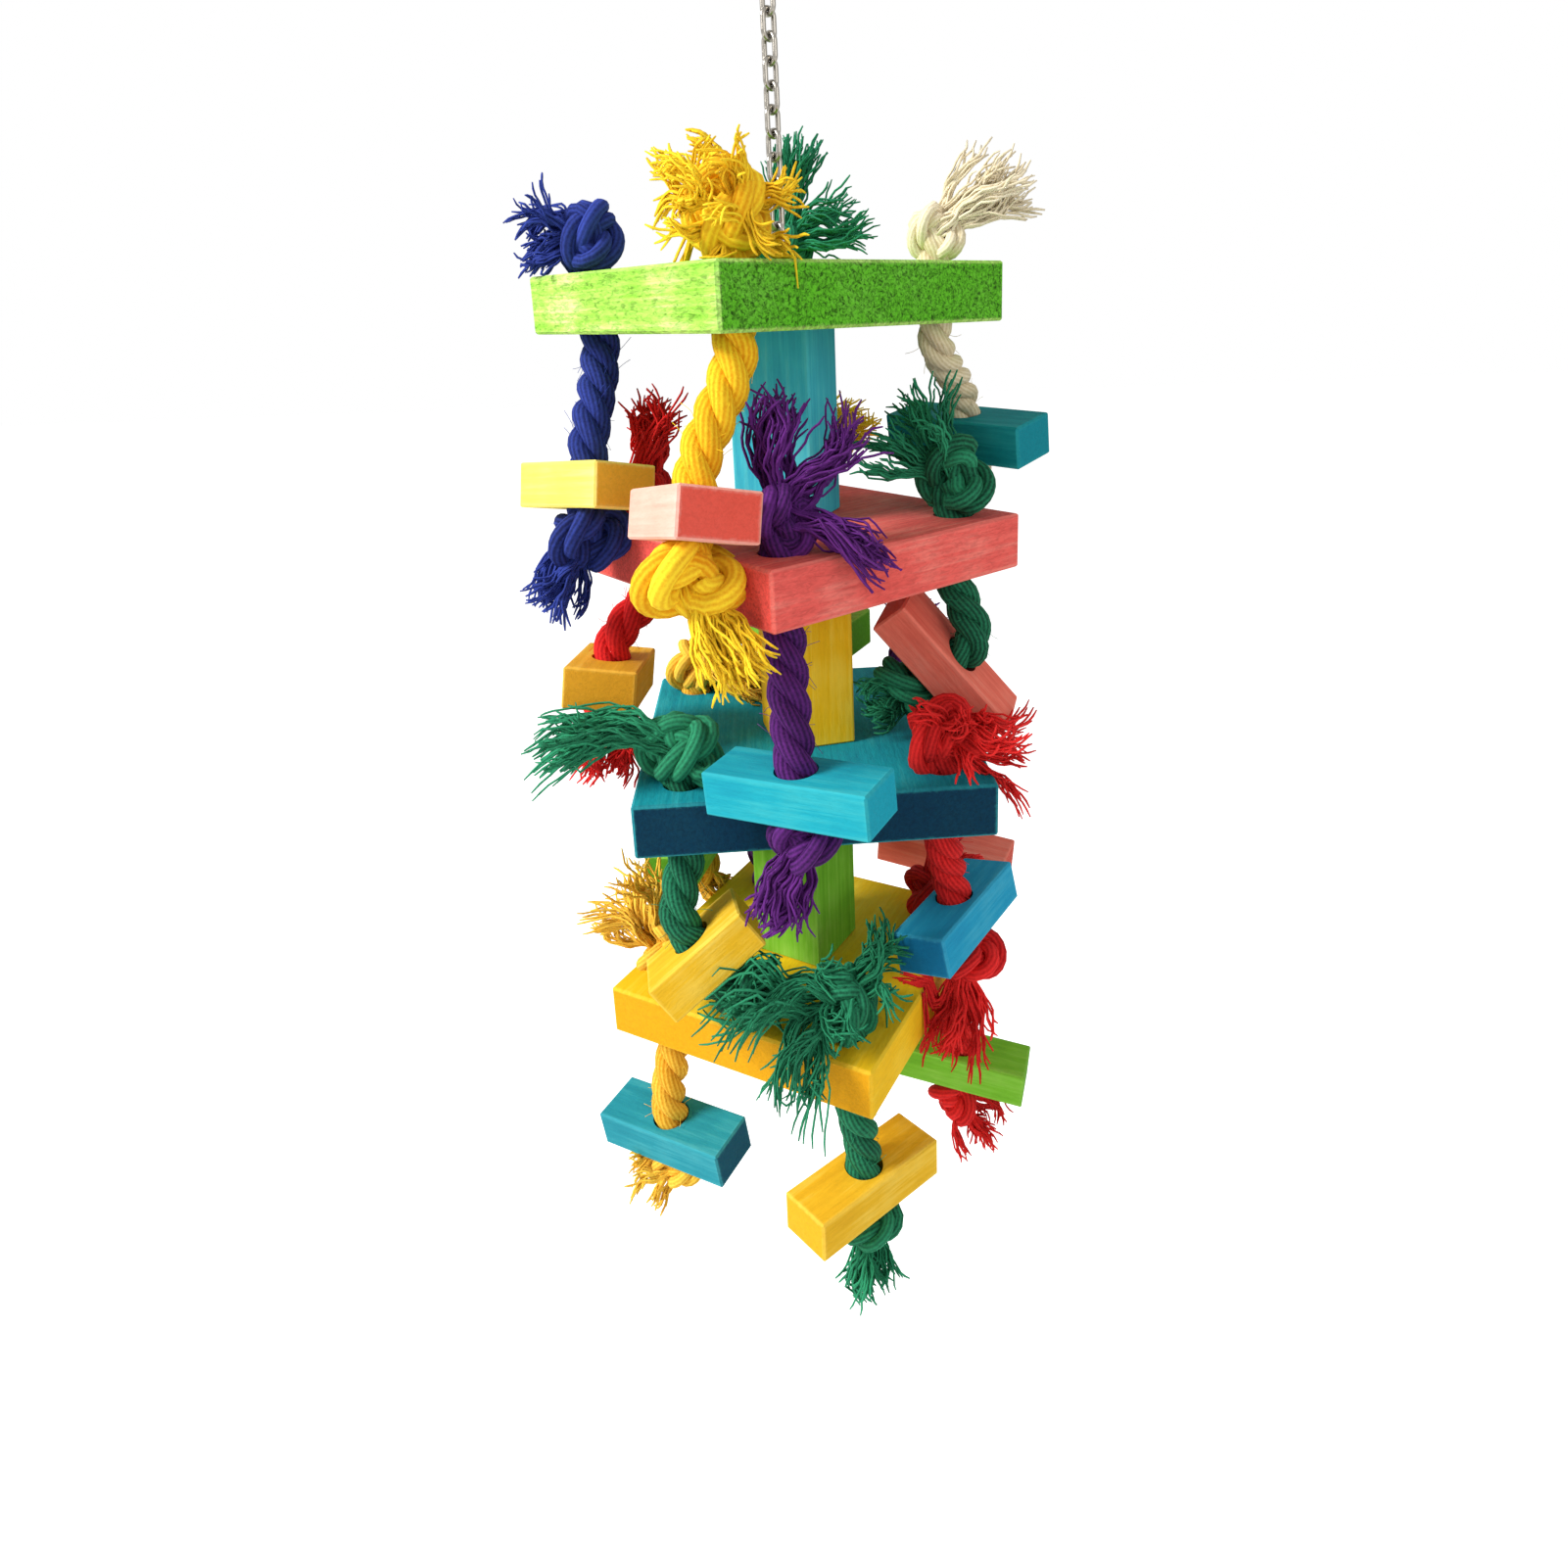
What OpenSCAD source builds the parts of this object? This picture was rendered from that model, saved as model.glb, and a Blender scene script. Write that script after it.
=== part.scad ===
// Hanging chew toy for a parrot cage: four square wooden boards and three upright
// spacers are threaded on a steel chain, and a cotton rope with a wooden block hangs
// from each corner of each board, knotted and frayed at both ends.
// The origin is the highest point inside the hanging ring, where a hook bears. +Z is up.

/* [Boards] */
// Side of each square board, from the top board down
board_side = [98, 94, 105, 93]; // [88:1:112]
// Thickness of every board
board_t = 16.5; // [13:0.5:20]
// Turn of each board about the chain in degrees, from the top board down
board_turn = [37.5, 38, 91.5, 60.5]; // [0:0.5:120]
// Sideways shift of each board's middle from the chain
board_shift_x = [-5, 3, 3, -1]; // [-7:1:7]
// Shift of each board's middle away from the front
board_shift_y = [-1, -4, 7, -3]; // [-7:1:7]
// Distance from a rope hole to each of the two edges beside it
hole_inset = 14; // [11:0.5:17]
// Chamfer that eases the edges of the boards
board_ease = 0.8; // [0.3:0.1:1.5]

/* [Spacers] */
// Width of the square spacers
spacer_w = 25; // [20:0.5:30]
// Height of each spacer, from the top one down
spacer_h = [56, 56, 60.5]; // [50:0.5:66]
// Turn of each spacer about the chain in degrees, from the top one down
spacer_turn = [-21, 12, -32]; // [-45:1:45]
// Sideways shift of each spacer from the chain
spacer_shift_x = [0, 3, 0]; // [-4:1:4]
// Chamfer that eases the edges of the spacers and the blocks
wood_ease = 0.6; // [0.3:0.1:1.2]

/* [Blocks] */
// Length of a long block
long_block_l = 50; // [44:0.5:56]
// Width of a long block
long_block_w = 18; // [16:0.5:20]
// Length of a short block
short_block_l = 34; // [30:0.5:38]
// Width of a short block
short_block_w = 22; // [18:0.5:24]
// Thickness of every block
block_t = 13; // [10:0.5:16]

/* [Ropes] */
// Diameter of the dyed ropes
rope_d = 11.5; // [9:0.5:12.5]
// Diameter of the undyed rope
plain_rope_d = 10; // [8:0.5:12]
// Depth under the bottom board that the height of its blocks is measured from
low_fall = 60; // [54:1:66]
// Room between a rope and the wall of its hole
rope_room = 0.4; // [0.2:0.1:0.8]
// Width of a knot
knot_w = 20; // [17:0.5:23]
// Height of a knot on top of a board
top_knot_h = 18; // [15:0.5:20]
// Height of a knot below a block
low_knot_h = 13.5; // [11:0.5:14]
// Gap that keeps the soft rope clear of the wood
soft_gap = 0.2; // [0.1:0.05:0.3]
// Number of tufts in a frayed end
tuft_count = 6; // [4:1:6]
// Radius of a tuft where it leaves the knot
tuft_r = 3.2; // [2:0.1:4]

/* [Chain and rings] */
// Diameter of the wire of a chain link
link_wire = 1.5; // [1.2:0.1:1.8]
// Length inside a chain link
link_in_l = 6.22; // [6:0.02:6.6]
// Width inside a chain link
link_in_w = 2.6; // [2.4:0.1:3]
// Number of links in the chain
link_count = 53; // [50:1:56]
// Slack where one link bears on the next
link_slack = 0.05; // [0.02:0.01:0.1]
// Turn of the chain and its two rings about the vertical
chain_turn = 45; // [0:5:90]
// Diameter of the hole that the chain runs through in the wood
chain_bore_d = 8; // [7:0.5:10]
// Diameter inside the hanging ring
top_ring_in_d = 20; // [16:0.5:26]
// Diameter of the wire of the hanging ring
top_ring_wire = 2.4; // [2:0.1:2.5]
// Diameter inside the bottom ring
low_ring_in_d = 15.8; // [14:0.2:20]
// Diameter of the wire of the bottom ring
low_ring_wire = 2.2; // [1.8:0.1:2.4]
// Outside diameter of the washer under the bottom board
washer_d = 26; // [20:0.5:32]
// Thickness of the washer
washer_t = 1.5; // [1:0.1:2]
// Gap between the washer and the bottom ring that carries it
washer_gap = 0.1; // [0.05:0.05:0.2]

/* [Hidden] */

$fn = 48;
golden_turn = 137.5;
rope_sides = 8;
knot_sides = 6;
tuft_sides = 4;

// Dyes of the wood and the ropes
GREEN = [0.36, 0.68, 0.16];
RED = [0.88, 0.30, 0.28];
BLUE = [0.06, 0.30, 0.45];
YELLOW = [0.96, 0.78, 0.12];
TURQUOISE = [0.16, 0.68, 0.72];
TEAL = [0.05, 0.50, 0.54];
AMBER = [0.86, 0.64, 0.16];
SALMON = [0.86, 0.36, 0.30];
NAVY = [0.16, 0.22, 0.52];
FOREST = [0.10, 0.44, 0.32];
CREAM = [0.90, 0.85, 0.70];
SCARLET = [0.84, 0.10, 0.10];
PURPLE = [0.36, 0.14, 0.46];
STEEL = [0.72, 0.73, 0.75];

// Corners of a board in its own frame, in the order left, front, right, back
CORNERS = [[-1, 1], [-1, -1], [1, -1], [1, 1]];

LONG = [long_block_l, long_block_w, block_t];
SHORT = [short_block_l, short_block_w, block_t];

// One row for each rope, four to a board from the top board down and from the left
// corner round by the front. A row holds the block's size, its place in thicknesses of a
// block, its tilt as rotations about X, Y and Z, and its dye. The place is the shift
// from the rope hole in X and Y, and the height above the board below.
BLOCKS = [
    [SHORT, [-0.31, -1.46, 1.02], [12, 5, 140], YELLOW],
    [SHORT, [-0.96, -0.62, 0.92], [12, 10, 118], SALMON],
    [LONG, [1, 1.62, 1.64], [10, 2, -45], TEAL],
    [LONG, [-0.38, 1.08, 2.33], [0, 0, 88], TEAL],
    [SHORT, [-1.15, -0.46, 1.83], [7, 6, 88], AMBER],
    [LONG, [0.15, -0.62, 0.62], [2, -3, -30], TURQUOISE],
    [LONG, [-0.19, -0.19, 1.98], [16, 50, -8], SALMON],
    [LONG, [-0.58, 0, 1.79], [0, 0, -28], GREEN],
    [SHORT, [0.27, -0.62, 1.9], [-13, -34, 17], YELLOW],
    [LONG, [0.46, 0.54, 1.67], [-12, -1, 54], TURQUOISE],
    [LONG, [1.15, 0, 0.35], [0, 5, -25], SALMON],
    [LONG, [-0.42, -0.19, 1.33], [0, 0, 75], GREEN],
    [LONG, [-0.23, -0.15, 1.25], [6, -4, -32], TURQUOISE],
    [LONG, [0.27, 0.15, 1.33], [-2, 2, 39], YELLOW],
    [LONG, [0.88, 0.08, 1.1], [0, 5, -20], GREEN],
    [LONG, [0, 0.15, 1.25], [0, 0, 60], RED]
];

// One row for each rope: its dye, the size of its top and its low knot beside the usual
// one, then the frayed ends above the board and those below the block. A frayed end is
// its heading about +Z from +X, its rise, its length, the angle that it spreads over and
// how far its tips droop, the lengths in widths of a knot.
ROPES = [
    [NAVY, [1.1, 1.15], [[178, 18, 1.15, 70, 0.2]], [[205, -50, 1.3, 60, 0.2]]],
    [YELLOW, [1.25, 1.4], [[-90, 26, 1.1, 150, 0]], [[-20, -60, 1.35, 36, 0.1]]],
    [CREAM, [0.8, 0.8], [[20, 52, 1.4, 48, 0]], [[170, 0, 0.65, 40, 0]]],
    [FOREST, [0.85, 0.9], [[0, 26, 1.5, 64, 0.1], [165, 76, 1.35, 24, 0]], [[90, 5, 0.9, 40, 0]]],
    [SCARLET, [0.85, 0.95], [[60, 76, 1.45, 30, 0]], [[200, -50, 1.1, 50, 0.1]]],
    [PURPLE, [0.95, 1.1], [[100, 80, 1.75, 30, 0], [5, 50, 1.85, 36, 0.1], [-20, 12, 1.6, 40, 0.4]],
        [[205, -58, 1.3, 46, 0.1]]],
    [FOREST, [1.15, 1.15], [[185, 42, 1.45, 76, 0.1]], [[200, -15, 0.9, 50, 0]]],
    [YELLOW, [0.85, 0.9], [[10, 52, 1.2, 50, 0]], [[60, 5, 0.8, 40, 0]]],
    [FOREST, [1.15, 1.25], [[183, 28, 2.1, 26, 0.45]], [[-10, 5, 0.9, 50, 0.1]]],
    [SCARLET, [1.1, 1.15], [[-15, 14, 1.35, 90, 0.25]], [[200, -76, 1.6, 52, 0.1]]],
    [PURPLE, [0.9, 0.95], [[60, 60, 1.1, 45, 0]], [[10, -30, 1.1, 45, 0.1]]],
    [AMBER, [1, 0.95], [[-8, 4, 1.3, 30, 0.1]], [[-20, -35, 1, 45, 0.1]]],
    [AMBER, [1, 0.95], [[150, 36, 1.4, 90, 0.1]], [[-90, -45, 0.85, 130, 0]]],
    [FOREST, [1.1, 1], [[208, 38, 1.5, 44, 0.4], [245, 24, 1.8, 50, 0.7], [25, 50, 1.2, 40, 0]],
        [[-80, -78, 1.2, 50, 0]]],
    [SCARLET, [1, 1.15], [[30, 46, 1.2, 45, 0]], [[-30, -45, 1.1, 70, 0.1]]],
    [PURPLE, [0.9, 0.95], [[90, 42, 1.2, 50, 0]], [[90, -60, 1.2, 50, 0.1]]]
];

// Chain: centre line of a link, and the places of the first and the last link
link_bend_r = (link_in_w + link_wire) / 2;
link_half_straight = (link_in_l - link_in_w) / 2;
link_step = link_in_l - link_slack;
top_ring_z = -top_ring_in_d / 2;
first_link_z = -top_ring_in_d + link_slack - link_in_l / 2;
last_link_z = first_link_z - (link_count - 1) * link_step;
low_ring_out_r = low_ring_in_d / 2 + low_ring_wire;
low_ring_z = last_link_z - link_in_l / 2 + link_slack - low_ring_in_d / 2;
washer_bottom_z = low_ring_z + sqrt(pow(low_ring_out_r, 2) - pow(chain_bore_d / 2, 2)) + washer_gap;

// Stack of boards and spacers, built up from the washer, counted from the top board down
function spacers_below(tier) = tier > 2 ? 0 : spacer_h[tier] + spacers_below(tier + 1);
function board_z(tier) = washer_bottom_z + washer_t + board_t * (3.5 - tier) + spacers_below(tier);
function board_at(tier) = [board_shift_x[tier], board_shift_y[tier], board_z(tier)];
function spacer_z(tier) = board_z(tier) - board_t / 2 - spacer_h[tier] / 2;

// Turns a vector about X, then Y, then Z, as rotate() does
function turn_z(v, a) = [v.x * cos(a) - v.y * sin(a), v.x * sin(a) + v.y * cos(a), v.z];
function turn_y(v, a) = [v.x * cos(a) + v.z * sin(a), v.y, v.z * cos(a) - v.x * sin(a)];
function turn_x(v, a) = [v.x, v.y * cos(a) - v.z * sin(a), v.y * sin(a) + v.z * cos(a)];
function turned(v, r) = turn_z(turn_y(turn_x(v, r.x), r.y), r.z);

// Places that the ropes run through
function tier_of(i) = floor(i / 4);
function hole_reach(tier) = board_side[tier] / 2 - hole_inset;
function hole_at(i) =
    board_at(tier_of(i)) + turn_z(concat(hole_reach(tier_of(i)) * CORNERS[i % 4], 0), board_turn[tier_of(i)]);
function low_level(tier) =
    tier < 3 ? board_z(tier + 1) + board_t / 2 : board_z(tier) - board_t / 2 - low_fall;
function block_at(i) =
    let (hole = hole_at(i), place = block_t * BLOCKS[i][1])
    [hole.x + place.x, hole.y + place.y, low_level(tier_of(i)) + place.z];
function block_up(i) = turned([0, 0, 1], BLOCKS[i][2]);
function this_rope_d(i) = ROPES[i][0] == CREAM ? plain_rope_d : rope_d;

// Points between two ends on a curve that leaves along one direction and arrives along another
function bend_point(a, da, b, db, t) =
    a * (1 + 2 * t) * pow(1 - t, 2) + da * t * pow(1 - t, 2) + b * t * t * (3 - 2 * t) - db * t * t * (1 - t);

function rope_route(i) =
    let (
        hole = hole_at(i),
        up = block_up(i),
        start = hole + [0, 0, (board_t + ROPES[i][1][0] * top_knot_h) / 2],
        out_of_board = hole - [0, 0, board_t / 2 + 1.5],
        into_block = block_at(i) + up * (block_t / 2 + 2),
        finish = block_at(i) - up * (block_t + ROPES[i][1][1] * low_knot_h) / 2,
        pull = norm(into_block - out_of_board)
    )
    concat(
        [start, out_of_board],
        [for (t = [1 / 3, 2 / 3]) bend_point(out_of_board, [0, 0, -pull], into_block, -up * pull, t)],
        [into_block, finish]
    );

// Sweep of a regular polygon along points, with its own radius at each point
function unit(v) = v / norm(v);
function heading(p, k) = unit(p[min(k + 1, len(p) - 1)] - p[max(k - 1, 0)]);
function side_reference(p) = abs(heading(p, 0).y) < 0.8 ? [0, 1, 0] : [1, 0, 0];
function ring(p, r, k, sides) =
    let (
        along = heading(p, k),
        u = unit(cross(along, side_reference(p))),
        v = cross(along, u)
    )
    [for (s = [0:sides - 1]) p[k] + r[k] * (u * cos(360 * s / sides) + v * sin(360 * s / sides))];

module sweep(p, r, sides) {
    last = len(p) - 1;
    rings = [for (k = [0:last]) each ring(p, r, k, sides)];
    walls = [
        for (k = [0:last - 1], s = [0:sides - 1])
            let (a = k * sides + s, b = k * sides + (s + 1) % sides)
            each [[a, b + sides, b], [a, a + sides, b + sides]]
    ];
    caps = [[for (s = [0:sides - 1]) s], [for (s = [sides - 1:-1:0]) last * sides + s]];
    polyhedron(points = rings, faces = concat(walls, caps), convexity = 4);
}

// Wood

module eased_rect(w, h, ease) {
    x = w / 2;
    y = h / 2;
    polygon([
        [x - ease, -y], [x, ease - y], [x, y - ease], [x - ease, y],
        [ease - x, y], [-x, y - ease], [-x, ease - y], [ease - x, -y]
    ]);
}

// Solid block with a chamfer along all twelve edges
module eased_block(size, ease) {
    intersection() {
        linear_extrude(size.z, center = true)
            eased_rect(size.x, size.y, ease);
        rotate([90, 0, 0])
            linear_extrude(size.y, center = true)
                eased_rect(size.x, size.z, ease);
        rotate([90, 0, 90])
            linear_extrude(size.x, center = true)
                eased_rect(size.y, size.z, ease);
    }
}

module chain_bore(z, h) {
    translate([0, 0, z])
        cylinder(h = h + 2, d = chain_bore_d, center = true);
}

module board(tier, dye) {
    side = board_side[tier];
    color(dye)
        difference() {
            translate(board_at(tier))
                rotate(board_turn[tier])
                    eased_block([side, side, board_t], board_ease);
            for (c = [0:3])
                translate(hole_at(4 * tier + c))
                    cylinder(h = board_t + 2, d = this_rope_d(4 * tier + c) + 2 * rope_room, center = true);
            chain_bore(board_z(tier), board_t);
        }
}

module spacer(tier, dye) {
    color(dye)
        difference() {
            translate([spacer_shift_x[tier], 0, spacer_z(tier)])
                rotate(spacer_turn[tier])
                    eased_block([spacer_w, spacer_w, spacer_h[tier]], wood_ease);
            chain_bore(spacer_z(tier), spacer_h[tier]);
        }
}

module block(i) {
    color(BLOCKS[i][3])
        translate(block_at(i))
            rotate(BLOCKS[i][2])
                difference() {
                    eased_block(BLOCKS[i][0], wood_ease);
                    cylinder(h = block_t + 2, d = this_rope_d(i) + 2 * rope_room, center = true);
                }
}

// Rope: the straight run, a knot above the board, a knot below the block and frayed ends

// One turn of rope round a knot, as a thick round-edged disc
module knot_turn(w, t) {
    hull() {
        cylinder(h = t * 0.4, d = w, center = true, $fn = knot_sides);
        cylinder(h = t, d = w - t * 0.6, center = true, $fn = knot_sides);
    }
}

// Knot that bears on the plane Z = 0 and stands above it, larger or smaller than usual
module knot(size, h) {
    thick = h * 0.62;
    scale(size)
        translate([0, 0, h / 2])
            intersection() {
                cube([2 * knot_w, 2 * knot_w, h], center = true);
                union() {
                    rotate([24, 0, 0])
                        knot_turn(knot_w, thick);
                    rotate([0, -28, 75])
                        knot_turn(knot_w * 0.94, thick);
                }
            }
}

// Frayed end: a core that opens out and tufts that fan round its heading
module frayed_end(from, end) {
    reach = knot_w * end[2];
    half_spread = end[3] / 2;
    hull() {
        translate(from)
            sphere(r = tuft_r * 1.4, $fn = 5);
        translate(from + 0.45 * reach * turned([1, 0, 0], [0, -end[1], end[0]]))
            sphere(r = tuft_r + 0.2 * reach * sin(half_spread), $fn = 5);
    }
    for (k = [0:tuft_count - 1]) {
        off = half_spread * sqrt((k + 0.5) / tuft_count);
        way = turned(turn_x(turn_z([1, 0, 0], off), golden_turn * k), [0, -end[1], end[0]]);
        length = reach * (1 - 0.12 * (k % 3));
        route = [for (t = [0, 0.5, 1]) from + way * length * t - [0, 0, knot_w * end[4] * t * t]];
        sweep(route, [tuft_r, tuft_r * 0.85, tuft_r * 0.35], tuft_sides);
    }
}

// All the wood that a rope lies against, grown by the soft gap
module wood_round_rope(i) {
    grown = 2 * soft_gap;
    for (tier = [0:3])
        translate(board_at(tier))
            rotate(board_turn[tier])
                cube([board_side[tier] + grown, board_side[tier] + grown, board_t + grown], center = true);
    translate(block_at(i))
        rotate(BLOCKS[i][2])
            cube(BLOCKS[i][0] + [grown, grown, grown], center = true);
}

module rope(i) {
    d = this_rope_d(i);
    route = rope_route(i);
    last = len(route) - 1;
    color(ROPES[i][0]) {
        sweep(route, [for (p = route) d / 2], rope_sides);
        difference() {
            union() {
                translate(hole_at(i) + [0, 0, board_t / 2])
                    knot(ROPES[i][1][0], top_knot_h);
                translate(block_at(i))
                    rotate(BLOCKS[i][2])
                        mirror([0, 0, 1])
                            translate([0, 0, block_t / 2])
                                knot(ROPES[i][1][1], low_knot_h);
                for (end = ROPES[i][2])
                    frayed_end(route[0], end);
                for (end = ROPES[i][3])
                    frayed_end(route[last], end);
            }
            wood_round_rope(i);
        }
    }
}

// Steel

module ring_solid(in_d, wire) {
    rotate([90, 0, 0])
        rotate_extrude()
            translate([(in_d + wire) / 2, 0])
                circle(d = wire);
}

module chain_link() {
    for (side = [-1, 1]) {
        translate([side * link_bend_r, 0, 0])
            cylinder(h = 2 * link_half_straight, d = link_wire, center = true);
        translate([0, 0, side * link_half_straight])
            rotate([side * 90, 0, 0])
                rotate_extrude(angle = 180)
                    translate([link_bend_r, 0])
                        circle(d = link_wire);
    }
}

module hanging_ring() {
    color(STEEL)
        translate([0, 0, top_ring_z])
            rotate(chain_turn)
                ring_solid(top_ring_in_d, top_ring_wire);
}

module chain() {
    color(STEEL)
        for (k = [0:link_count - 1])
            translate([0, 0, first_link_z - k * link_step])
                rotate(90 * (k + 1) + chain_turn)
                    chain_link();
}

module bottom_washer() {
    color(STEEL)
        translate([0, 0, washer_bottom_z])
            difference() {
                cylinder(h = washer_t, d = washer_d);
                chain_bore(washer_t / 2, washer_t);
            }
}

module bottom_ring() {
    color(STEEL)
        translate([0, 0, low_ring_z])
            rotate(90 * (link_count + 1) + chain_turn)
                ring_solid(low_ring_in_d, low_ring_wire);
}

module green_board() board(0, GREEN);
module red_board() board(1, RED);
module blue_board() board(2, BLUE);
module yellow_board() board(3, YELLOW);

module top_spacer() spacer(0, TURQUOISE);
module middle_spacer() spacer(1, YELLOW);
module low_spacer() spacer(2, GREEN);

module block_1_left() block(0);
module block_1_front() block(1);
module block_1_right() block(2);
module block_1_back() block(3);
module block_2_left() block(4);
module block_2_front() block(5);
module block_2_right() block(6);
module block_2_back() block(7);
module block_3_left() block(8);
module block_3_front() block(9);
module block_3_right() block(10);
module block_3_back() block(11);
module block_4_left() block(12);
module block_4_front() block(13);
module block_4_right() block(14);
module block_4_back() block(15);

module rope_1_left() rope(0);
module rope_1_front() rope(1);
module rope_1_right() rope(2);
module rope_1_back() rope(3);
module rope_2_left() rope(4);
module rope_2_front() rope(5);
module rope_2_right() rope(6);
module rope_2_back() rope(7);
module rope_3_left() rope(8);
module rope_3_front() rope(9);
module rope_3_right() rope(10);
module rope_3_back() rope(11);
module rope_4_left() rope(12);
module rope_4_front() rope(13);
module rope_4_right() rope(14);
module rope_4_back() rope(15);

hanging_ring();
chain();
bottom_washer();
bottom_ring();
green_board();
red_board();
blue_board();
yellow_board();
top_spacer();
middle_spacer();
low_spacer();
block_1_left();
block_1_front();
block_1_right();
block_1_back();
block_2_left();
block_2_front();
block_2_right();
block_2_back();
block_3_left();
block_3_front();
block_3_right();
block_3_back();
block_4_left();
block_4_front();
block_4_right();
block_4_back();
rope_1_left();
rope_1_front();
rope_1_right();
rope_1_back();
rope_2_left();
rope_2_front();
rope_2_right();
rope_2_back();
rope_3_left();
rope_3_front();
rope_3_right();
rope_3_back();
rope_4_left();
rope_4_front();
rope_4_right();
rope_4_back();
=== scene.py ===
# %% [markdown]
# # A hanging chew toy for a parrot cage
#
# The toy is a tower of dyed softwood boards and spacers on a steel chain. A cotton rope
# goes through each corner of each board. It is knotted above the board, it carries a
# small wooden block, and it is knotted again below the block. Both ends are frayed.
#
# The wood and the chain come from the construction model and only need their finish.
# The ropes are made here, because a rope is what it looks like: three strands laid
# round each other, pulled into knots, and opened into single yarns at the ends.

# %% Load the construction model
import math

import bpy
import numpy as np
from mathutils import Euler, Matrix, Vector


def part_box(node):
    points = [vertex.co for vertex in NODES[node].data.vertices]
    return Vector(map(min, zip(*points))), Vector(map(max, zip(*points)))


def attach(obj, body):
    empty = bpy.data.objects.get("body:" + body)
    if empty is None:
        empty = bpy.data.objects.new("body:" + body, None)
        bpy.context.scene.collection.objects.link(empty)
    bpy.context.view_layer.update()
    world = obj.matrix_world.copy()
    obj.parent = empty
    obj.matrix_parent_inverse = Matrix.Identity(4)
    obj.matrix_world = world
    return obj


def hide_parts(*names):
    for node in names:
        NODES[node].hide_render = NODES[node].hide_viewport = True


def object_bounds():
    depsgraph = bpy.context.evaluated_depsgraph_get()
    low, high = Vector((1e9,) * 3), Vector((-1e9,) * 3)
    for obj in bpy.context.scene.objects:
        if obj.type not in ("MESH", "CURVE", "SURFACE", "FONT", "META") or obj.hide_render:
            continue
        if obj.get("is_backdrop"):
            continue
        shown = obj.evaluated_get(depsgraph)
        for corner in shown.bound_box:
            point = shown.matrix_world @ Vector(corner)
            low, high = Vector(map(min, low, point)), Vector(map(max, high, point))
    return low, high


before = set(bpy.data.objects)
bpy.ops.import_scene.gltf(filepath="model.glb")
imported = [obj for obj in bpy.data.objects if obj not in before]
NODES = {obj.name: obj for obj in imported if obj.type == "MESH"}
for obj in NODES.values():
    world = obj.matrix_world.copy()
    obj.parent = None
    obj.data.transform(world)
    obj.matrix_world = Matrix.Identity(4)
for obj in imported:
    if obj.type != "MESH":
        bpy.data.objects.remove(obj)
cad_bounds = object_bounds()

MM = 0.001
print("construction pieces:", len(NODES))

# %% [markdown]
# ## The camera
#
# The place of the camera was worked out from the corners of the boards in the
# photograph. It stands close, about 30 cm in front of the chain, level with the top
# board, and looks down by 15 degrees. The picture was cropped off its middle, which is
# what the two shifts repeat.

# %% Camera at the photograph's place
CAMERA_AT = Vector((0, -0.3082, -0.1174))
CAMERA_DOWN = math.radians(15.116)
CAMERA_RIGHT = math.radians(2.419)
CAMERA_ROLL = math.radians(-1.804)
PHOTO_SIDE = 1601
FOCAL_PIXELS = 1037.1
PICTURE_CENTRE = (851.4, 596.2)
# Width of the sensor in millimetres, and the nearest point drawn, in metres
SENSOR_W = 36
NEAREST_DRAWN = 0.01


def camera_axes(right_turn, down, roll):
    """Directions of the camera's right, up and back for a heading, a dip and a roll."""
    forward = Vector((
        math.sin(right_turn) * math.cos(down), math.cos(right_turn) * math.cos(down), -math.sin(down),
    ))
    level = Vector((math.cos(right_turn), -math.sin(right_turn), 0))
    fall = Vector((
        -math.sin(down) * math.sin(right_turn), -math.sin(down) * math.cos(right_turn), -math.cos(down),
    ))
    right = math.cos(roll) * level - math.sin(roll) * fall
    up = -math.sin(roll) * level - math.cos(roll) * fall
    return right, up, -forward


bpy.ops.object.camera_add()
camera = bpy.context.object
camera.name = "photo_camera"
axes = Matrix(camera_axes(CAMERA_RIGHT, CAMERA_DOWN, CAMERA_ROLL)).transposed()
camera.matrix_world = Matrix.Translation(CAMERA_AT) @ axes.to_4x4()
camera.data.sensor_width = SENSOR_W
camera.data.lens = SENSOR_W * FOCAL_PIXELS / PHOTO_SIDE
camera.data.shift_x = (PHOTO_SIDE / 2 - PICTURE_CENTRE[0]) / PHOTO_SIDE
camera.data.shift_y = (PICTURE_CENTRE[1] - PHOTO_SIDE / 2) / PHOTO_SIDE
camera.data.clip_start = NEAREST_DRAWN
bpy.context.scene.camera = camera
print("lens", round(camera.data.lens, 2), "mm")

# %% [markdown]
# ## Where the ropes run
#
# Each rope starts in its top knot, drops through the hole in the corner of its board,
# swings over to its block, goes through the block and ends in the lower knot. The
# sizes are those of the construction, in millimetres. After them comes one row for each
# board and one for each rope. They have to agree with the construction, because the
# boards and blocks come from it.

# %% Sizes of the construction
BOARD_T = 16.5
HOLE_INSET = 14
SPACER_W = 25
BLOCK_T = 13
LONG = (50, 18, BLOCK_T)
SHORT = (34, 22, BLOCK_T)
ROPE_D = 11.5
CREAM_ROPE_D = 10
KNOT_W = 20
TOP_KNOT_H = 18
LOW_KNOT_H = 13.5
# Depth under the bottom board that the height of its blocks is measured from
LOW_FALL = 60
print("a board is", BOARD_T, "mm thick and a rope", ROPE_D, "mm")

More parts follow.
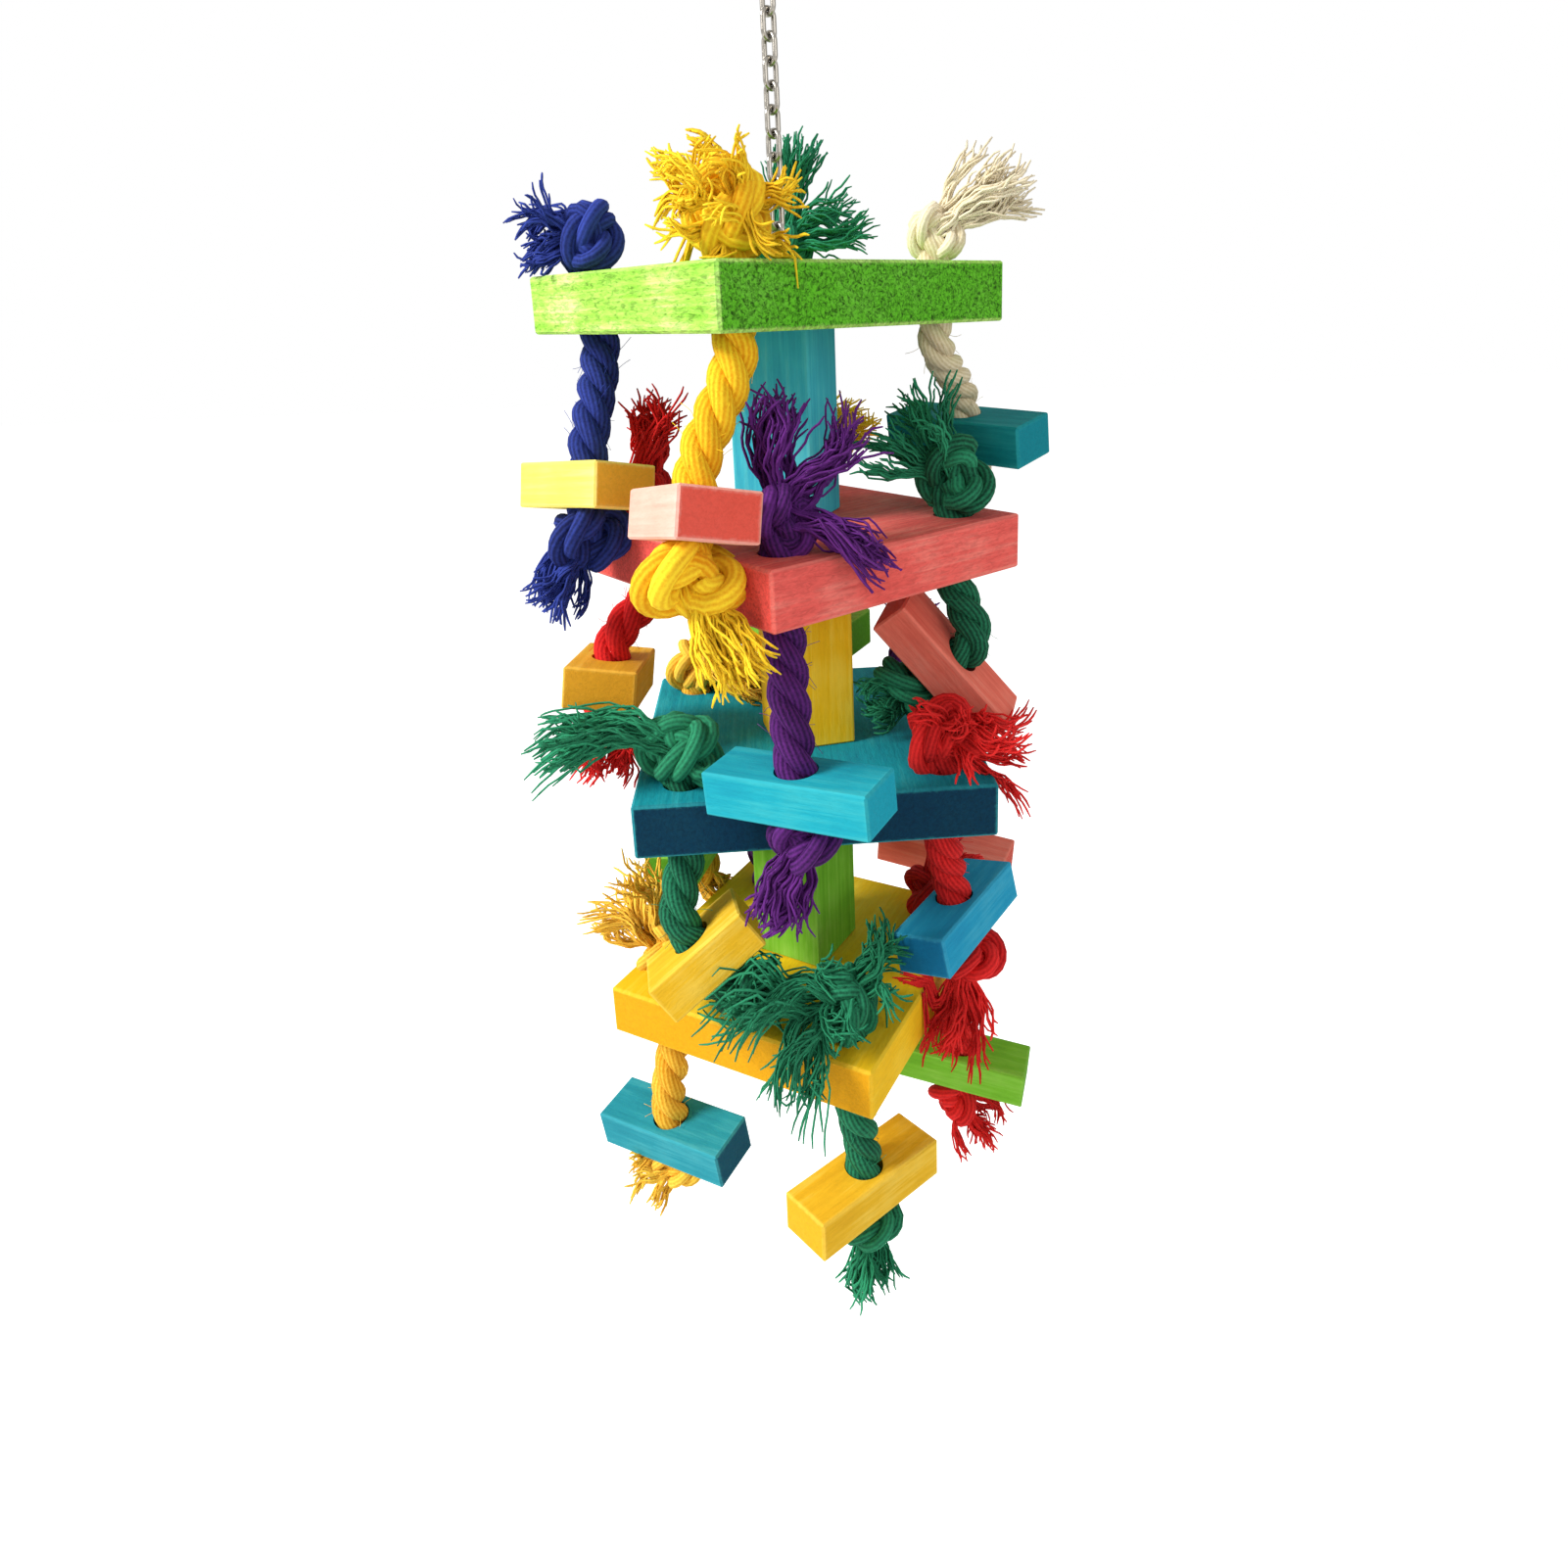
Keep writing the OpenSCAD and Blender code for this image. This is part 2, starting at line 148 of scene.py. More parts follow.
# %% Boards and ropes
# Node, side, turn about the chain in degrees, shift from the chain
BOARDS = [
    ("green_board", 98, 37.5, (-5, -1)),
    ("red_board", 94, 38, (3, -4)),
    ("blue_board", 105, 91.5, (3, 7)),
    ("yellow_board", 93, 60.5, (-1, -3)),
]
SPACER_TURNS = {"top_spacer": -21, "middle_spacer": 12, "low_spacer": -32}
CORNERS = {"left": (-1, 1), "front": (-1, -1), "right": (1, -1), "back": (1, 1)}

# Cotton, block size, place of the block in block thicknesses, its tilt, sizes of the
# two knots, then the frays above and below: heading, rise, length, spread, droop and curl
ROPES = {
    "1_left": ("blue", SHORT, (-0.31, -1.46, 1.02), (12, 5, 140), (1.1, 1.15),
               [(178, 22, 1.2, 64, 0.5, 1)], [(205, -48, 1.3, 56, 0.3, 1)]),
    "1_front": ("yellow", SHORT, (-0.96, -0.62, 0.92), (12, 10, 118), (1.25, 1.4),
                [(-80, -8, 1, 150, 0.2, 1.2), (-110, 40, 1.05, 130, 0, 1.2),
                 (190, 5, 1.05, 100, 0.2, 1.2), (0, 5, 1.05, 100, 0.2, 1.2),
                 (175, 48, 1.15, 44, 0, 0.8)],
                [(-35, -56, 1.45, 28, 0.1, 0.6)]),
    "1_right": ("cream", LONG, (1, 1.62, 1.64), (10, 2, -45), (0.8, 0.8),
                [(2, 38, 1.45, 46, 0, 0.7)], [(170, 0, 0.65, 40, 0, 1)]),
    "1_back": ("green", LONG, (-0.38, 1.08, 2.33), (0, 0, 88), (0.85, 0.9),
               [(0, 26, 1.55, 60, 0.1, 1), (10, 80, 1.75, 18, 0, 0.4)], [(90, 5, 0.9, 40, 0, 1)]),
    "2_left": ("red", SHORT, (-1.15, -0.46, 1.83), (7, 6, 88), (0.85, 0.95),
               [(60, 76, 1.55, 26, 0, 1.2)], [(-80, -50, 1.1, 56, 0.1, 1)]),
    "2_front": ("purple", LONG, (0.15, -0.62, 0.62), (2, -3, -30), (0.95, 1.1),
                [(120, 82, 1.8, 24, 0, 0.9), (5, 48, 1.7, 16, 0.1, 0.9), (-18, 12, 1.65, 34, 0.9, 1)],
                [(205, -62, 1.35, 46, 0.1, 0.8)]),
    "2_right": ("green", LONG, (-0.19, -0.19, 1.98), (16, 50, -8), (1.15, 1.15),
                [(190, 50, 1.5, 95, 0.1, 0.5)], [(200, -15, 0.9, 50, 0, 1)]),
    "2_back": ("yellow", LONG, (-0.58, 0, 1.79), (0, 0, -28), (0.85, 0.9),
               [(0, 48, 1.45, 56, 0, 1)], [(60, 5, 0.8, 40, 0, 1)]),
    "3_left": ("green", SHORT, (0.27, -0.62, 1.9), (-13, -34, 17), (1.15, 1.25),
               [(181, 36, 2.35, 22, 1.2, 0.6)], [(-10, 5, 0.9, 50, 0.1, 1)]),
    "3_front": ("red", LONG, (0.46, 0.54, 1.67), (-12, -1, 54), (1.1, 1.15),
                [(-18, 6, 1.5, 80, 0.4, 1), (-70, 30, 1.05, 120, 0.2, 1.2)], [(215, -74, 1.8, 70, 0.1, 0.7)]),
    "3_right": ("purple", LONG, (1.15, 0, 0.35), (0, 5, -25), (0.9, 0.95),
                [(60, 60, 1.1, 45, 0, 1)], [(10, -30, 1.1, 45, 0.1, 1)]),
    "3_back": ("amber", LONG, (-0.42, -0.19, 1.33), (0, 0, 75), (1, 0.95),
               [(-28, 2, 1.9, 40, 0.2, 0.8)], [(-20, -35, 1, 45, 0.1, 1)]),
    "4_left": ("amber", LONG, (-0.23, -0.15, 1.25), (6, -4, -32), (1, 0.95),
               [(150, 40, 1.85, 95, 0.1, 1.2)], [(185, -18, 0.95, 95, 0, 1)]),
    "4_front": ("green", LONG, (0.27, 0.15, 1.33), (-2, 2, 39), (1.1, 1),
                [(193, 30, 2.5, 50, 0.8, 1.3), (222, 24, 2.1, 50, 2, 1.3),
                 (25, 50, 1.35, 56, 0, 1.1), (-100, 45, 1.3, 140, 0.6, 1.3)],
                [(-80, -78, 1.3, 44, 0, 0.8)]),
    "4_right": ("red", LONG, (0.88, 0.08, 1.1), (0, 5, -20), (1, 1.15),
                [(30, 46, 1.2, 45, 0, 1)], [(-30, -45, 1.15, 66, 0.1, 1)]),
    "4_back": ("purple", LONG, (0, 0.15, 1.25), (0, 0, 60), (0.9, 0.95),
               [(90, 42, 1.2, 50, 0, 1)], [(90, -60, 1.2, 50, 0.1, 1)]),
}
print("boards:", len(BOARDS), "ropes:", len(ROPES))

# %% Places of holes and blocks
def turned(rotation):
    """Matrix of a rotation about X, then Y, then Z, in degrees."""
    return np.array(Euler([math.radians(a) for a in rotation]).to_matrix())


def board_place(tier):
    """Middle of a board in millimetres, with its height read from the construction."""
    node, _, _, shift = BOARDS[tier]
    low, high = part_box(node)
    return np.array([*shift, (low[2] + high[2]) / 2 / MM])


def rope_places(name):
    """Hole, block middle and the block's turn, in millimetres, for a rope by its name."""
    tier, corner = int(name[0]) - 1, name[2:]
    _, side, turn, _ = BOARDS[tier]
    reach = (side / 2 - HOLE_INSET) * np.array([*CORNERS[corner], 0])
    hole = board_place(tier) + turned((0, 0, turn)) @ reach
    _, _, place, tilt, _, _, _ = ROPES[name]
    if tier + 1 < len(BOARDS):
        level = board_place(tier + 1)[2] + BOARD_T / 2
    else:
        level = board_place(tier)[2] - BOARD_T / 2 - LOW_FALL
    block = np.array([hole[0], hole[1], level]) + BLOCK_T * np.array(place)
    return hole, block, turned(tilt)


print("top board at", board_place(0).round(1).tolist(), "mm")

# %% [markdown]
# ### The line of a rope
#
# A hanging rope has no corners. It leaves its hole straight down and meets its block
# square to it. Between these two it follows one cubic curve, which is fixed by its two
# ends and its directions there, so the line stays smooth when a block is moved or turned.

# %% Rope lines
# How far a rope stays straight below its board and above its block, in millimetres
STRAIGHT_UNDER_BOARD = 1.5
STRAIGHT_OVER_BLOCK = 2
# Distance between the points of a rope's line, in metres
LINE_STEP = 0.0015


def line_length(line):
    """Length along a line of points."""
    return float(np.linalg.norm(np.diff(line, axis=0), axis=1).sum())


def evenly_spaced(line, step):
    """The same line with its points a step apart."""
    along = np.concatenate([[0], np.cumsum(np.linalg.norm(np.diff(line, axis=0), axis=1))])
    at = np.linspace(0, along[-1], max(3, round(along[-1] / step)))
    return np.stack([np.interp(at, along, line[:, k]) for k in range(3)], axis=1)


def rope_line(name, points_in_bend=24):
    """The rope's centre line from knot to knot, in metres, evenly spaced."""
    hole, block, turn = rope_places(name)
    top_size, low_size = ROPES[name][4]
    up = turn @ np.array([0, 0, 1])
    down = np.array([0, 0, -1])
    start = hole - down * (BOARD_T + top_size * TOP_KNOT_H) / 2
    leave = hole + down * (BOARD_T / 2 + STRAIGHT_UNDER_BOARD)
    enter = block + up * (BLOCK_T / 2 + STRAIGHT_OVER_BLOCK)
    end = block - up * (BLOCK_T + low_size * LOW_KNOT_H) / 2
    pull = np.linalg.norm(enter - leave)
    t = np.linspace(0, 1, points_in_bend)[:, None]
    bend = (
        leave * (1 + 2 * t) * (1 - t) ** 2 + down * pull * t * (1 - t) ** 2
        + enter * t * t * (3 - 2 * t) + up * pull * t * t * (1 - t)
    )
    return evenly_spaced(np.vstack([start, bend, end]) * MM, LINE_STEP)


rope_lines = {name: rope_line(name) for name in ROPES}
for name, line in rope_lines.items():
    print("rope", name, round(line_length(line) / MM), "mm from knot to knot")

# %% [markdown]
# ## From a line to a rope
#
# A rope's strand and a single yarn are both tubes that follow a line. One function
# sweeps rings along many lines at once. The rings are carried along without twisting,
# so a strand can be wound round the rope's middle by its angle alone. Every tube gets
# a UV map, lengthwise in millimetres and once round, for the fibres in its material,
# and a tone of its own, because no two yarns take dye alike.

# %% Directions along a line
# The first cross direction comes from Y, or from X where a line starts close to Y, which
# is where the cosine of the angle between the two is over this
CLOSE_TO_Y = 0.8


def carried_frames(lines):
    """Tangents and two cross directions along lines of shape (tubes, points, 3)."""
    along = np.gradient(lines, axis=1)
    along /= np.linalg.norm(along, axis=2, keepdims=True)
    side = np.empty_like(lines)
    guess = np.where(np.abs(along[:, 0, 1:2]) < CLOSE_TO_Y, [[0.0, 1.0, 0.0]], [[1.0, 0.0, 0.0]])
    for k in range(lines.shape[1]):
        guess = guess - along[:, k] * (guess * along[:, k]).sum(1, keepdims=True)
        guess = guess / np.linalg.norm(guess, axis=1, keepdims=True)
        side[:, k] = guess
    return along, side, np.cross(along, side)


print("X is taken within", round(math.degrees(math.acos(CLOSE_TO_Y))), "degrees of Y")

# %% Tubes
# How far the yarns stand out of a strand, as a share of its radius
YARN_RELIEF = 0.03


def tubes(lines, radii, sides, yarns=0, yarn_turn=0.0):
    """Vertices, quads and UVs of closed tubes along lines (tubes, points, 3).

    yarns is how many yarns lie round the tube, and yarn_turn is their twist per metre.
    """
    count, points = lines.shape[:2]
    _, side, across = carried_frames(lines)
    steps = np.linalg.norm(np.diff(lines, axis=1), axis=2)
    run = np.concatenate([np.zeros((count, 1)), np.cumsum(steps, axis=1)], axis=1)
    angle = 2 * math.pi * np.arange(sides) / sides
    ridge = 1 + YARN_RELIEF * np.cos(yarns * (angle - yarn_turn * run[..., None]))
    r = (radii[..., None] * ridge)[..., None]
    rings = lines[:, :, None] + r * (
        side[:, :, None] * np.cos(angle)[:, None] + across[:, :, None] * np.sin(angle)[:, None]
    )
    index = np.arange(count * points * sides).reshape(count, points, sides)
    after = np.roll(index, -1, axis=2)
    quads = np.stack([index[:, :-1], after[:, :-1], after[:, 1:], index[:, 1:]], axis=-1).reshape(-1, 4)
    caps = np.concatenate([index[:, 0, ::-1], index[:, -1]])
    u = np.broadcast_to(run[..., None] / MM, index.shape)
    v = yarns * (angle - yarn_turn * run[..., None]) / (2 * math.pi)
    v_after = v + yarns / sides
    quad_uv = np.stack([
        np.stack([u[:, :-1], v[:, :-1]], -1), np.stack([u[:, :-1], v_after[:, :-1]], -1),
        np.stack([u[:, 1:], v_after[:, 1:]], -1), np.stack([u[:, 1:], v[:, 1:]], -1),
    ], axis=-2).reshape(-1, 4, 2)
    return rings.reshape(-1, 3), quads, caps, quad_uv


print("yarns stand out by", YARN_RELIEF * 100, "percent of a strand's radius")

# %% [markdown]
# ### One object from many tubes
#
# The tubes of one piece become one mesh, because a thousand yarns as a thousand objects
# would be slow to handle. The UV map and the tone go into the mesh with them.

# %% Meshes
def mesh_piece(name, bundles, tones):
    """One object from several bundles of tubes. tones holds a tone for each tube."""
    vertices, faces, uvs, tone_of = [], [], [], []
    base = 0
    for (points, quads, caps, quad_uv), tone in zip(bundles, tones):
        vertices.append(points)
        faces += (quads + base).tolist() + (caps + base).tolist()
        uvs.append(quad_uv.reshape(-1, 2))
        uvs.append(np.zeros((caps.size, 2)))
        tone_of.append(np.repeat(tone, len(points) // len(tone)))
        base += len(points)
    mesh = bpy.data.meshes.new(name)
    mesh.from_pydata(np.vstack(vertices).tolist(), [], faces)
    layer = mesh.uv_layers.new(name="fibre")
    layer.data.foreach_set("uv", np.vstack(uvs).astype(np.float32).ravel())
    attribute = mesh.attributes.new("tone", "FLOAT", "POINT")
    attribute.data.foreach_set("value", np.concatenate(tone_of).astype(np.float32))
    mesh.polygons.foreach_set("use_smooth", [True] * len(mesh.polygons))
    mesh.update()
    piece = bpy.data.objects.new(name, mesh)
    bpy.context.scene.collection.objects.link(piece)
    return piece


print("each mesh carries a UV map and a tone")

# %% [markdown]
# ### Laid rope
#
# Three strands wound round each other make the rope. The yarns inside a strand are
# twisted the other way, which keeps real rope from opening, so on the outside they run
# nearly along the rope.

# %% Strands
# Strands press into each other, so each is drawn thicker than three that only touch
STRAND_FULLNESS = 1.06


def strands(line, diameter, lay, start_angle=0.0, sides=20, yarns=12):
    """Three strands wound round a line. lay is the length of one full turn."""
    strand_r = diameter / 2 / (1 + 2 / math.sqrt(3))
    wind_r = diameter / 2 - strand_r
    _, side, across = carried_frames(line[None])
    run = np.concatenate([[0], np.cumsum(np.linalg.norm(np.diff(line, axis=0), axis=1))])
    lines = []
    for k in range(3):
        angle = (start_angle + 2 * math.pi * (k / 3 - run / lay))[:, None]
        lines.append(line + wind_r * (side[0] * np.cos(angle) + across[0] * np.sin(angle)))
    lines = np.array(lines)
    radii = np.full(lines.shape[:2], strand_r * STRAND_FULLNESS)
    lay_angle = math.atan(2 * math.pi * wind_r / lay)
    yarn_turn = math.tan(lay_angle) / strand_r - 2 * math.pi * math.cos(lay_angle) ** 2 / lay
    return tubes(lines, radii, sides, yarns, yarn_turn)


drawn_d = STRAND_FULLNESS * ROPE_D / (1 + 2 / math.sqrt(3))
print("a strand is drawn", round(drawn_d, 1), "mm thick")

# %% [markdown]
# ## Keeping yarns out of the wood
#
# A frayed end spreads over its board or hangs against its block, and it must not go
# through them. Every board, spacer and block is a box with a place and a turn, so a
# point inside one is moved out. A yarn comes out through the face that its root is on,
# which makes it lie on the board and drop over the edge.

# %% Wood as boxes
def wood_boxes():
    """(middle, turn, half sizes) of each wooden piece, in metres."""
    boxes = []
    for tier, (_, side, turn, _) in enumerate(BOARDS):
        half = np.array([side, side, BOARD_T]) / 2 * MM
        boxes.append((board_place(tier) * MM, turned((0, 0, turn)), half))
    for name, (_, size, _, _, _, _, _) in ROPES.items():
        _, block, turn = rope_places(name)
        boxes.append((block * MM, turn, np.array(size) / 2 * MM))
    for node, turn in SPACER_TURNS.items():
        low, high = np.array(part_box(node))
        half = np.array([SPACER_W / 2 * MM, SPACER_W / 2 * MM, (high[2] - low[2]) / 2])
        boxes.append(((low + high) / 2, turned((0, 0, turn)), half))
    return boxes


WOOD = wood_boxes()
print("wooden boxes:", len(WOOD))

# %% Points out of the wood
def clear_of_wood(points, margin, roots=None):
    """Moves points that are in the wood, or nearer than the margin, out through a face.

    It is the face nearest to each point's root, or to the point itself.
    """
    moved = points.copy()
    for middle, turn, half in WOOD:
        local = (moved - middle) @ turn
        room = half + margin
        inside = (np.abs(local) < room).all(axis=-1)
        near = local if roots is None else np.broadcast_to((roots - middle) @ turn, local.shape)
        face = (room - np.abs(near)).argmin(axis=-1)
        for axis in range(3):
            out = inside & (face == axis)
            local[out, axis] = np.copysign(room[axis], near[out, axis])
        moved[inside] = middle + local[inside] @ turn.T
    return moved


middle = WOOD[0][0][None]
way_out = np.linalg.norm(clear_of_wood(middle, 0) - middle)
print("a point in the middle of a board moves", round(way_out / MM, 2), "mm")

# %% [markdown]
# ## Knots
#
# An overhand knot in soft rope pulls up into a ball of three lobes with the rope
# crossing over itself. The line below is the classic trefoil: it goes twice round
# while it rises and falls three times. The rope is squeezed in the knot, so it is
# drawn thinner there than on the straight.

# %% Knot lines
# Radius of the rope in a knot, as a share of the knot's width
KNOT_ROPE = 0.2
# How far the lobes reach, how deep they are, and how many radii of the rope its line
# stays inside the knot's height
KNOT_FULLNESS = 1.08
LOBE_DEPTH = 0.5
KNOT_SINK = 0.8
# Where the two ends stop on the curve, in radians, and each knot's own sway, as a share
# of its width
KNOT_OPENING = 0.05
KNOT_SWAY = 0.05
rng = np.random.default_rng(7)


def knot_line(size, height, points=130):
    """A trefoil that fills a knot of that size, in millimetres. Its two ends meet
    unseen in the middle, where one runs into the rope and the other into the fray."""
    width = size * KNOT_W
    rope_r = KNOT_ROPE * width
    middle_r = (width / 2 - rope_r) * KNOT_FULLNESS
    swing = LOBE_DEPTH * middle_r
    t = np.linspace(KNOT_OPENING, 2 * math.pi - KNOT_OPENING, points) + math.pi / 3
    out = middle_r - swing + swing * np.cos(3 * t)
    rise = (height / 2 - KNOT_SINK * rope_r) * np.sin(3 * t)
    line = np.stack([out * np.cos(2 * t), out * np.sin(2 * t), rise], axis=1)
    for k in range(1, 3):
        sway = rng.normal(0, KNOT_SWAY * width, (2, 3))
        line = line + np.cos(k * t)[:, None] * sway[0] + np.sin(k * t)[:, None] * sway[1]
    return line, 2 * rope_r


print("rope in a knot is drawn", 2 * KNOT_ROPE * KNOT_W, "mm thick")

# %% Knots in their places
# Length of one turn of the strands in a knot, in diameters, and the step of its line
KNOT_LAY = 4
KNOT_STEP = 0.0014


def placed_knot(centre, turn, size, height, spin):
    """Strands of a knot at its place, in metres."""
    line, diameter = knot_line(size, height)
    lean = (spin * 0.4 % 30 - 15, 10, spin)
    line = line @ turned(lean).T @ turn.T
    line = evenly_spaced((centre + line) * MM, KNOT_STEP)
    return strands(line, diameter * MM, KNOT_LAY * diameter * MM, sides=12, yarns=9)


print("a knot's strands turn once in", KNOT_LAY, "diameters")

# %% [markdown]
# ## Frayed ends
#
# A three-strand rope opens into locks of yarns that keep the curl they had in the
# strand. A lock leaves the knot along the heading of its fray, bends to a way of its
# own and droops. The yarns of one lock wave together, because they lay side by side in
# the rope, and drift apart towards their tips. A few strays leave their lock. The
# numbers come from a seeded generator, so the same yarns grow in every run. Single
# fibres also stand off the rope itself, which takes the hard edge off its outline.

# %% Sizes of yarns and locks
# Radius of a yarn, and how far its middle stays from wood, in millimetres
YARN_R = 0.4
YARN_GAP = YARN_R + 0.15
# Locks in each fray of an end, by how many frays the end opens into
LOCKS_OF = {1: 9, 2: 6, 3: 5, 4: 5, 5: 4}
YARNS_IN_LOCK = 15
# Radius of a lock at its root, and how far the outer ones lie from the fray's axis
LOCK_R = 1.5
LOCKS_APART = 3.2
# How far a yarn drifts from its lock, and how many drift much further
YARN_DRIFT = 0.09
STRAY_DRIFT = 3.0
STRAY_SHARE = 0.06
# Length and depth of the waves of a yarn and of the coil of a lock
CRIMP = 8
CRIMP_DEPTH = 0.4
LOCK_CURL = 27
COIL_DEPTH = 0.5
# How soon a lock takes its own way, and how much a drooping one falls
EARLY = 1.8
DROOP = 2.2
# Locks are set round the fray as seeds are in a flower head
GOLDEN_TURN = math.radians(137.5)
print("yarns in an end with one fray:", LOCKS_OF[1] * YARNS_IN_LOCK)

# %% Yarns of one lock
def across_of(main):
    """Two directions across a heading."""
    u = np.cross(main, [0, 0, 1.0] if abs(main[2]) < 0.9 else [1.0, 0, 0])
    u /= np.linalg.norm(u)
    return u, np.cross(main, u)


def lock_lines(centre, main, outward, share, fray, t):
    """Lines of the yarns in one lock, in millimetres.

    outward points from the fray's axis to the lock, and share is how far out it lies.
    """
    _, _, length, spread, droop, curl = fray
    u, v = across_of(main)
    off = math.radians(spread / 2) * share
    way = main * math.cos(off) + outward * math.sin(off)
    n = YARNS_IN_LOCK
    lock_reach = KNOT_W * length * rng.uniform(0.9, 1.15)
    reach = lock_reach * rng.uniform(0.8, 1.1, (n, 1, 1))
    stray = np.where(rng.uniform(size=(n, 1, 1)) < STRAY_SHARE, STRAY_DRIFT, 1.0)
    own = rng.normal(0, YARN_DRIFT, (n, 1, 3)) * stray
    early = np.minimum(1, EARLY * t)
    phase = rng.uniform(0, 2 * math.pi) + rng.normal(0, 0.7, (n, 1, 1))
    crimp = 2 * math.pi * reach / CRIMP * t + phase
    swing = CRIMP_DEPTH * rng.uniform(0.5, 1.3, (n, 1, 1))
    coil = 2 * math.pi * lock_reach / LOCK_CURL * t + rng.uniform(0, 2 * math.pi)
    hook_way = rng.uniform(0, 2 * math.pi) + rng.normal(0, 0.8, (n, 1, 1))
    hook = rng.uniform(0.2, 1.8, (n, 1, 1)) * curl * np.clip(3 * t - 2, 0, 1)
    step = (
        main * (1 - early) + way * early + own * early
        + COIL_DEPTH * curl * np.minimum(1, 3 * t) * (u * np.cos(coil) + v * np.sin(coil))
        + swing * (u * np.cos(crimp) + v * np.sin(crimp))
        + hook * (u * np.cos(hook_way) + v * np.sin(hook_way))
        - np.array([0, 0, DROOP * droop / length]) * t
    )
    step /= np.linalg.norm(step, axis=2, keepdims=True)
    run = np.cumsum(step, axis=1) - step[:, :1]
    spot = rng.uniform(0, 2 * math.pi, n)
    disc = LOCK_R * np.sqrt(rng.uniform(size=n))
    root = outward * LOCKS_APART * share + (
        u * (disc * np.cos(spot))[:, None] + v * (disc * np.sin(spot))[:, None]
    )
    return centre + root[:, None] + run * reach / (t.shape[1] - 1)


print("a yarn makes a wave every", CRIMP, "mm")

# %% Frayed ends
def fray_lines(centre, fray, locks, points=15):
    """Lines of the yarns in one frayed end, in metres."""
    heading, rise = math.radians(fray[0]), math.radians(fray[1])
    main = np.array([
        math.cos(heading) * math.cos(rise), math.sin(heading) * math.cos(rise), math.sin(rise),
    ])
    u, v = across_of(main)
    t = np.linspace(0, 1, points)[None, :, None]
    every = []
    for k in range(locks):
        turn = GOLDEN_TURN * k + rng.uniform(-0.4, 0.4)
        outward = u * math.cos(turn) + v * math.sin(turn)
        share = math.sqrt((k + 0.5) / locks)
        every.append(lock_lines(centre, main, outward, share, fray, t))
    lines = np.concatenate(every) * MM
    lines = clear_of_wood(lines, YARN_GAP * MM, lines[:, :1])
    # Lightly smoothed, so that a yarn bends over the edge of the wood without a kink
    lines[:, 1:-1] = (lines[:, :-2] + 6 * lines[:, 1:-1] + lines[:, 2:]) / 8
    return clear_of_wood(lines, YARN_GAP * MM, lines[:, :1])


def fray_bundle(centre, fray, locks):
    """Tubes of the yarns in one frayed end."""
    lines = fray_lines(centre, fray, locks)
    thick = rng.uniform(0.85, 1.15, len(lines))[:, None] * YARN_R * MM
    taper = np.concatenate([np.ones(lines.shape[1] - 1), [0.6]])
    return tubes(lines, thick * taper, 3)


def lock_tones(locks):
    """A tone for each yarn in a fray, close to the tone of its lock."""
    tone = np.repeat(rng.uniform(0.1, 0.9, locks), YARNS_IN_LOCK)
    return np.clip(tone + rng.normal(0, 0.15, len(tone)), 0, 1)


print("a yarn is", 2 * YARN_R, "mm thick")

# %% [markdown]
# ### Loose fibres
#
# Cotton rope is hairy. A few dozen fine fibres along each rope are enough for its
# outline to look soft, where a hair system would add far more mesh than the eye can see.

# %% Fibres
FUZZ_HAIRS = 70
# Radius in millimetres. A real fibre is far finer, and wouldn't show
FUZZ_R = 0.08
# Share of the diameter at which fibres start, and how far the rope is from wood there
FUZZ_ROOT = 0.42
FUZZ_FREE = 2.5


def fuzz_bundle(line, diameter, points=6):
    """Fine fibres that stand off the rope's surface, along a line in metres."""
    along, side, across = (directions[0] for directions in carried_frames(line[None]))
    open_air = np.flatnonzero((clear_of_wood(line, FUZZ_FREE * MM) == line).all(axis=1))
    at = rng.choice(open_air, FUZZ_HAIRS)
    angle = rng.uniform(0, 2 * math.pi, FUZZ_HAIRS)
    out = side[at] * np.cos(angle)[:, None] + across[at] * np.sin(angle)[:, None]
    way = along[at] * rng.choice([-1, 1], FUZZ_HAIRS)[:, None] + rng.normal(0, 0.4, (FUZZ_HAIRS, 3))
    reach = rng.uniform(1.5, 4.5, FUZZ_HAIRS)[:, None, None] * MM
    t = np.linspace(0, 1, points)[None, :, None]
    root = line[at] + out * diameter * FUZZ_ROOT
    curl = rng.normal(0, 0.35, (FUZZ_HAIRS, 1, 3))
    lines = root[:, None] + reach * (
        way[:, None] * t * 0.8 + out[:, None] * t ** 1.5 * 0.5 + curl * t ** 2
    )
    lines = clear_of_wood(lines, 2 * FUZZ_R * MM)
    return tubes(lines, np.full(lines.shape[:2], FUZZ_R * MM), 3)


print("loose fibres on each rope:", FUZZ_HAIRS)
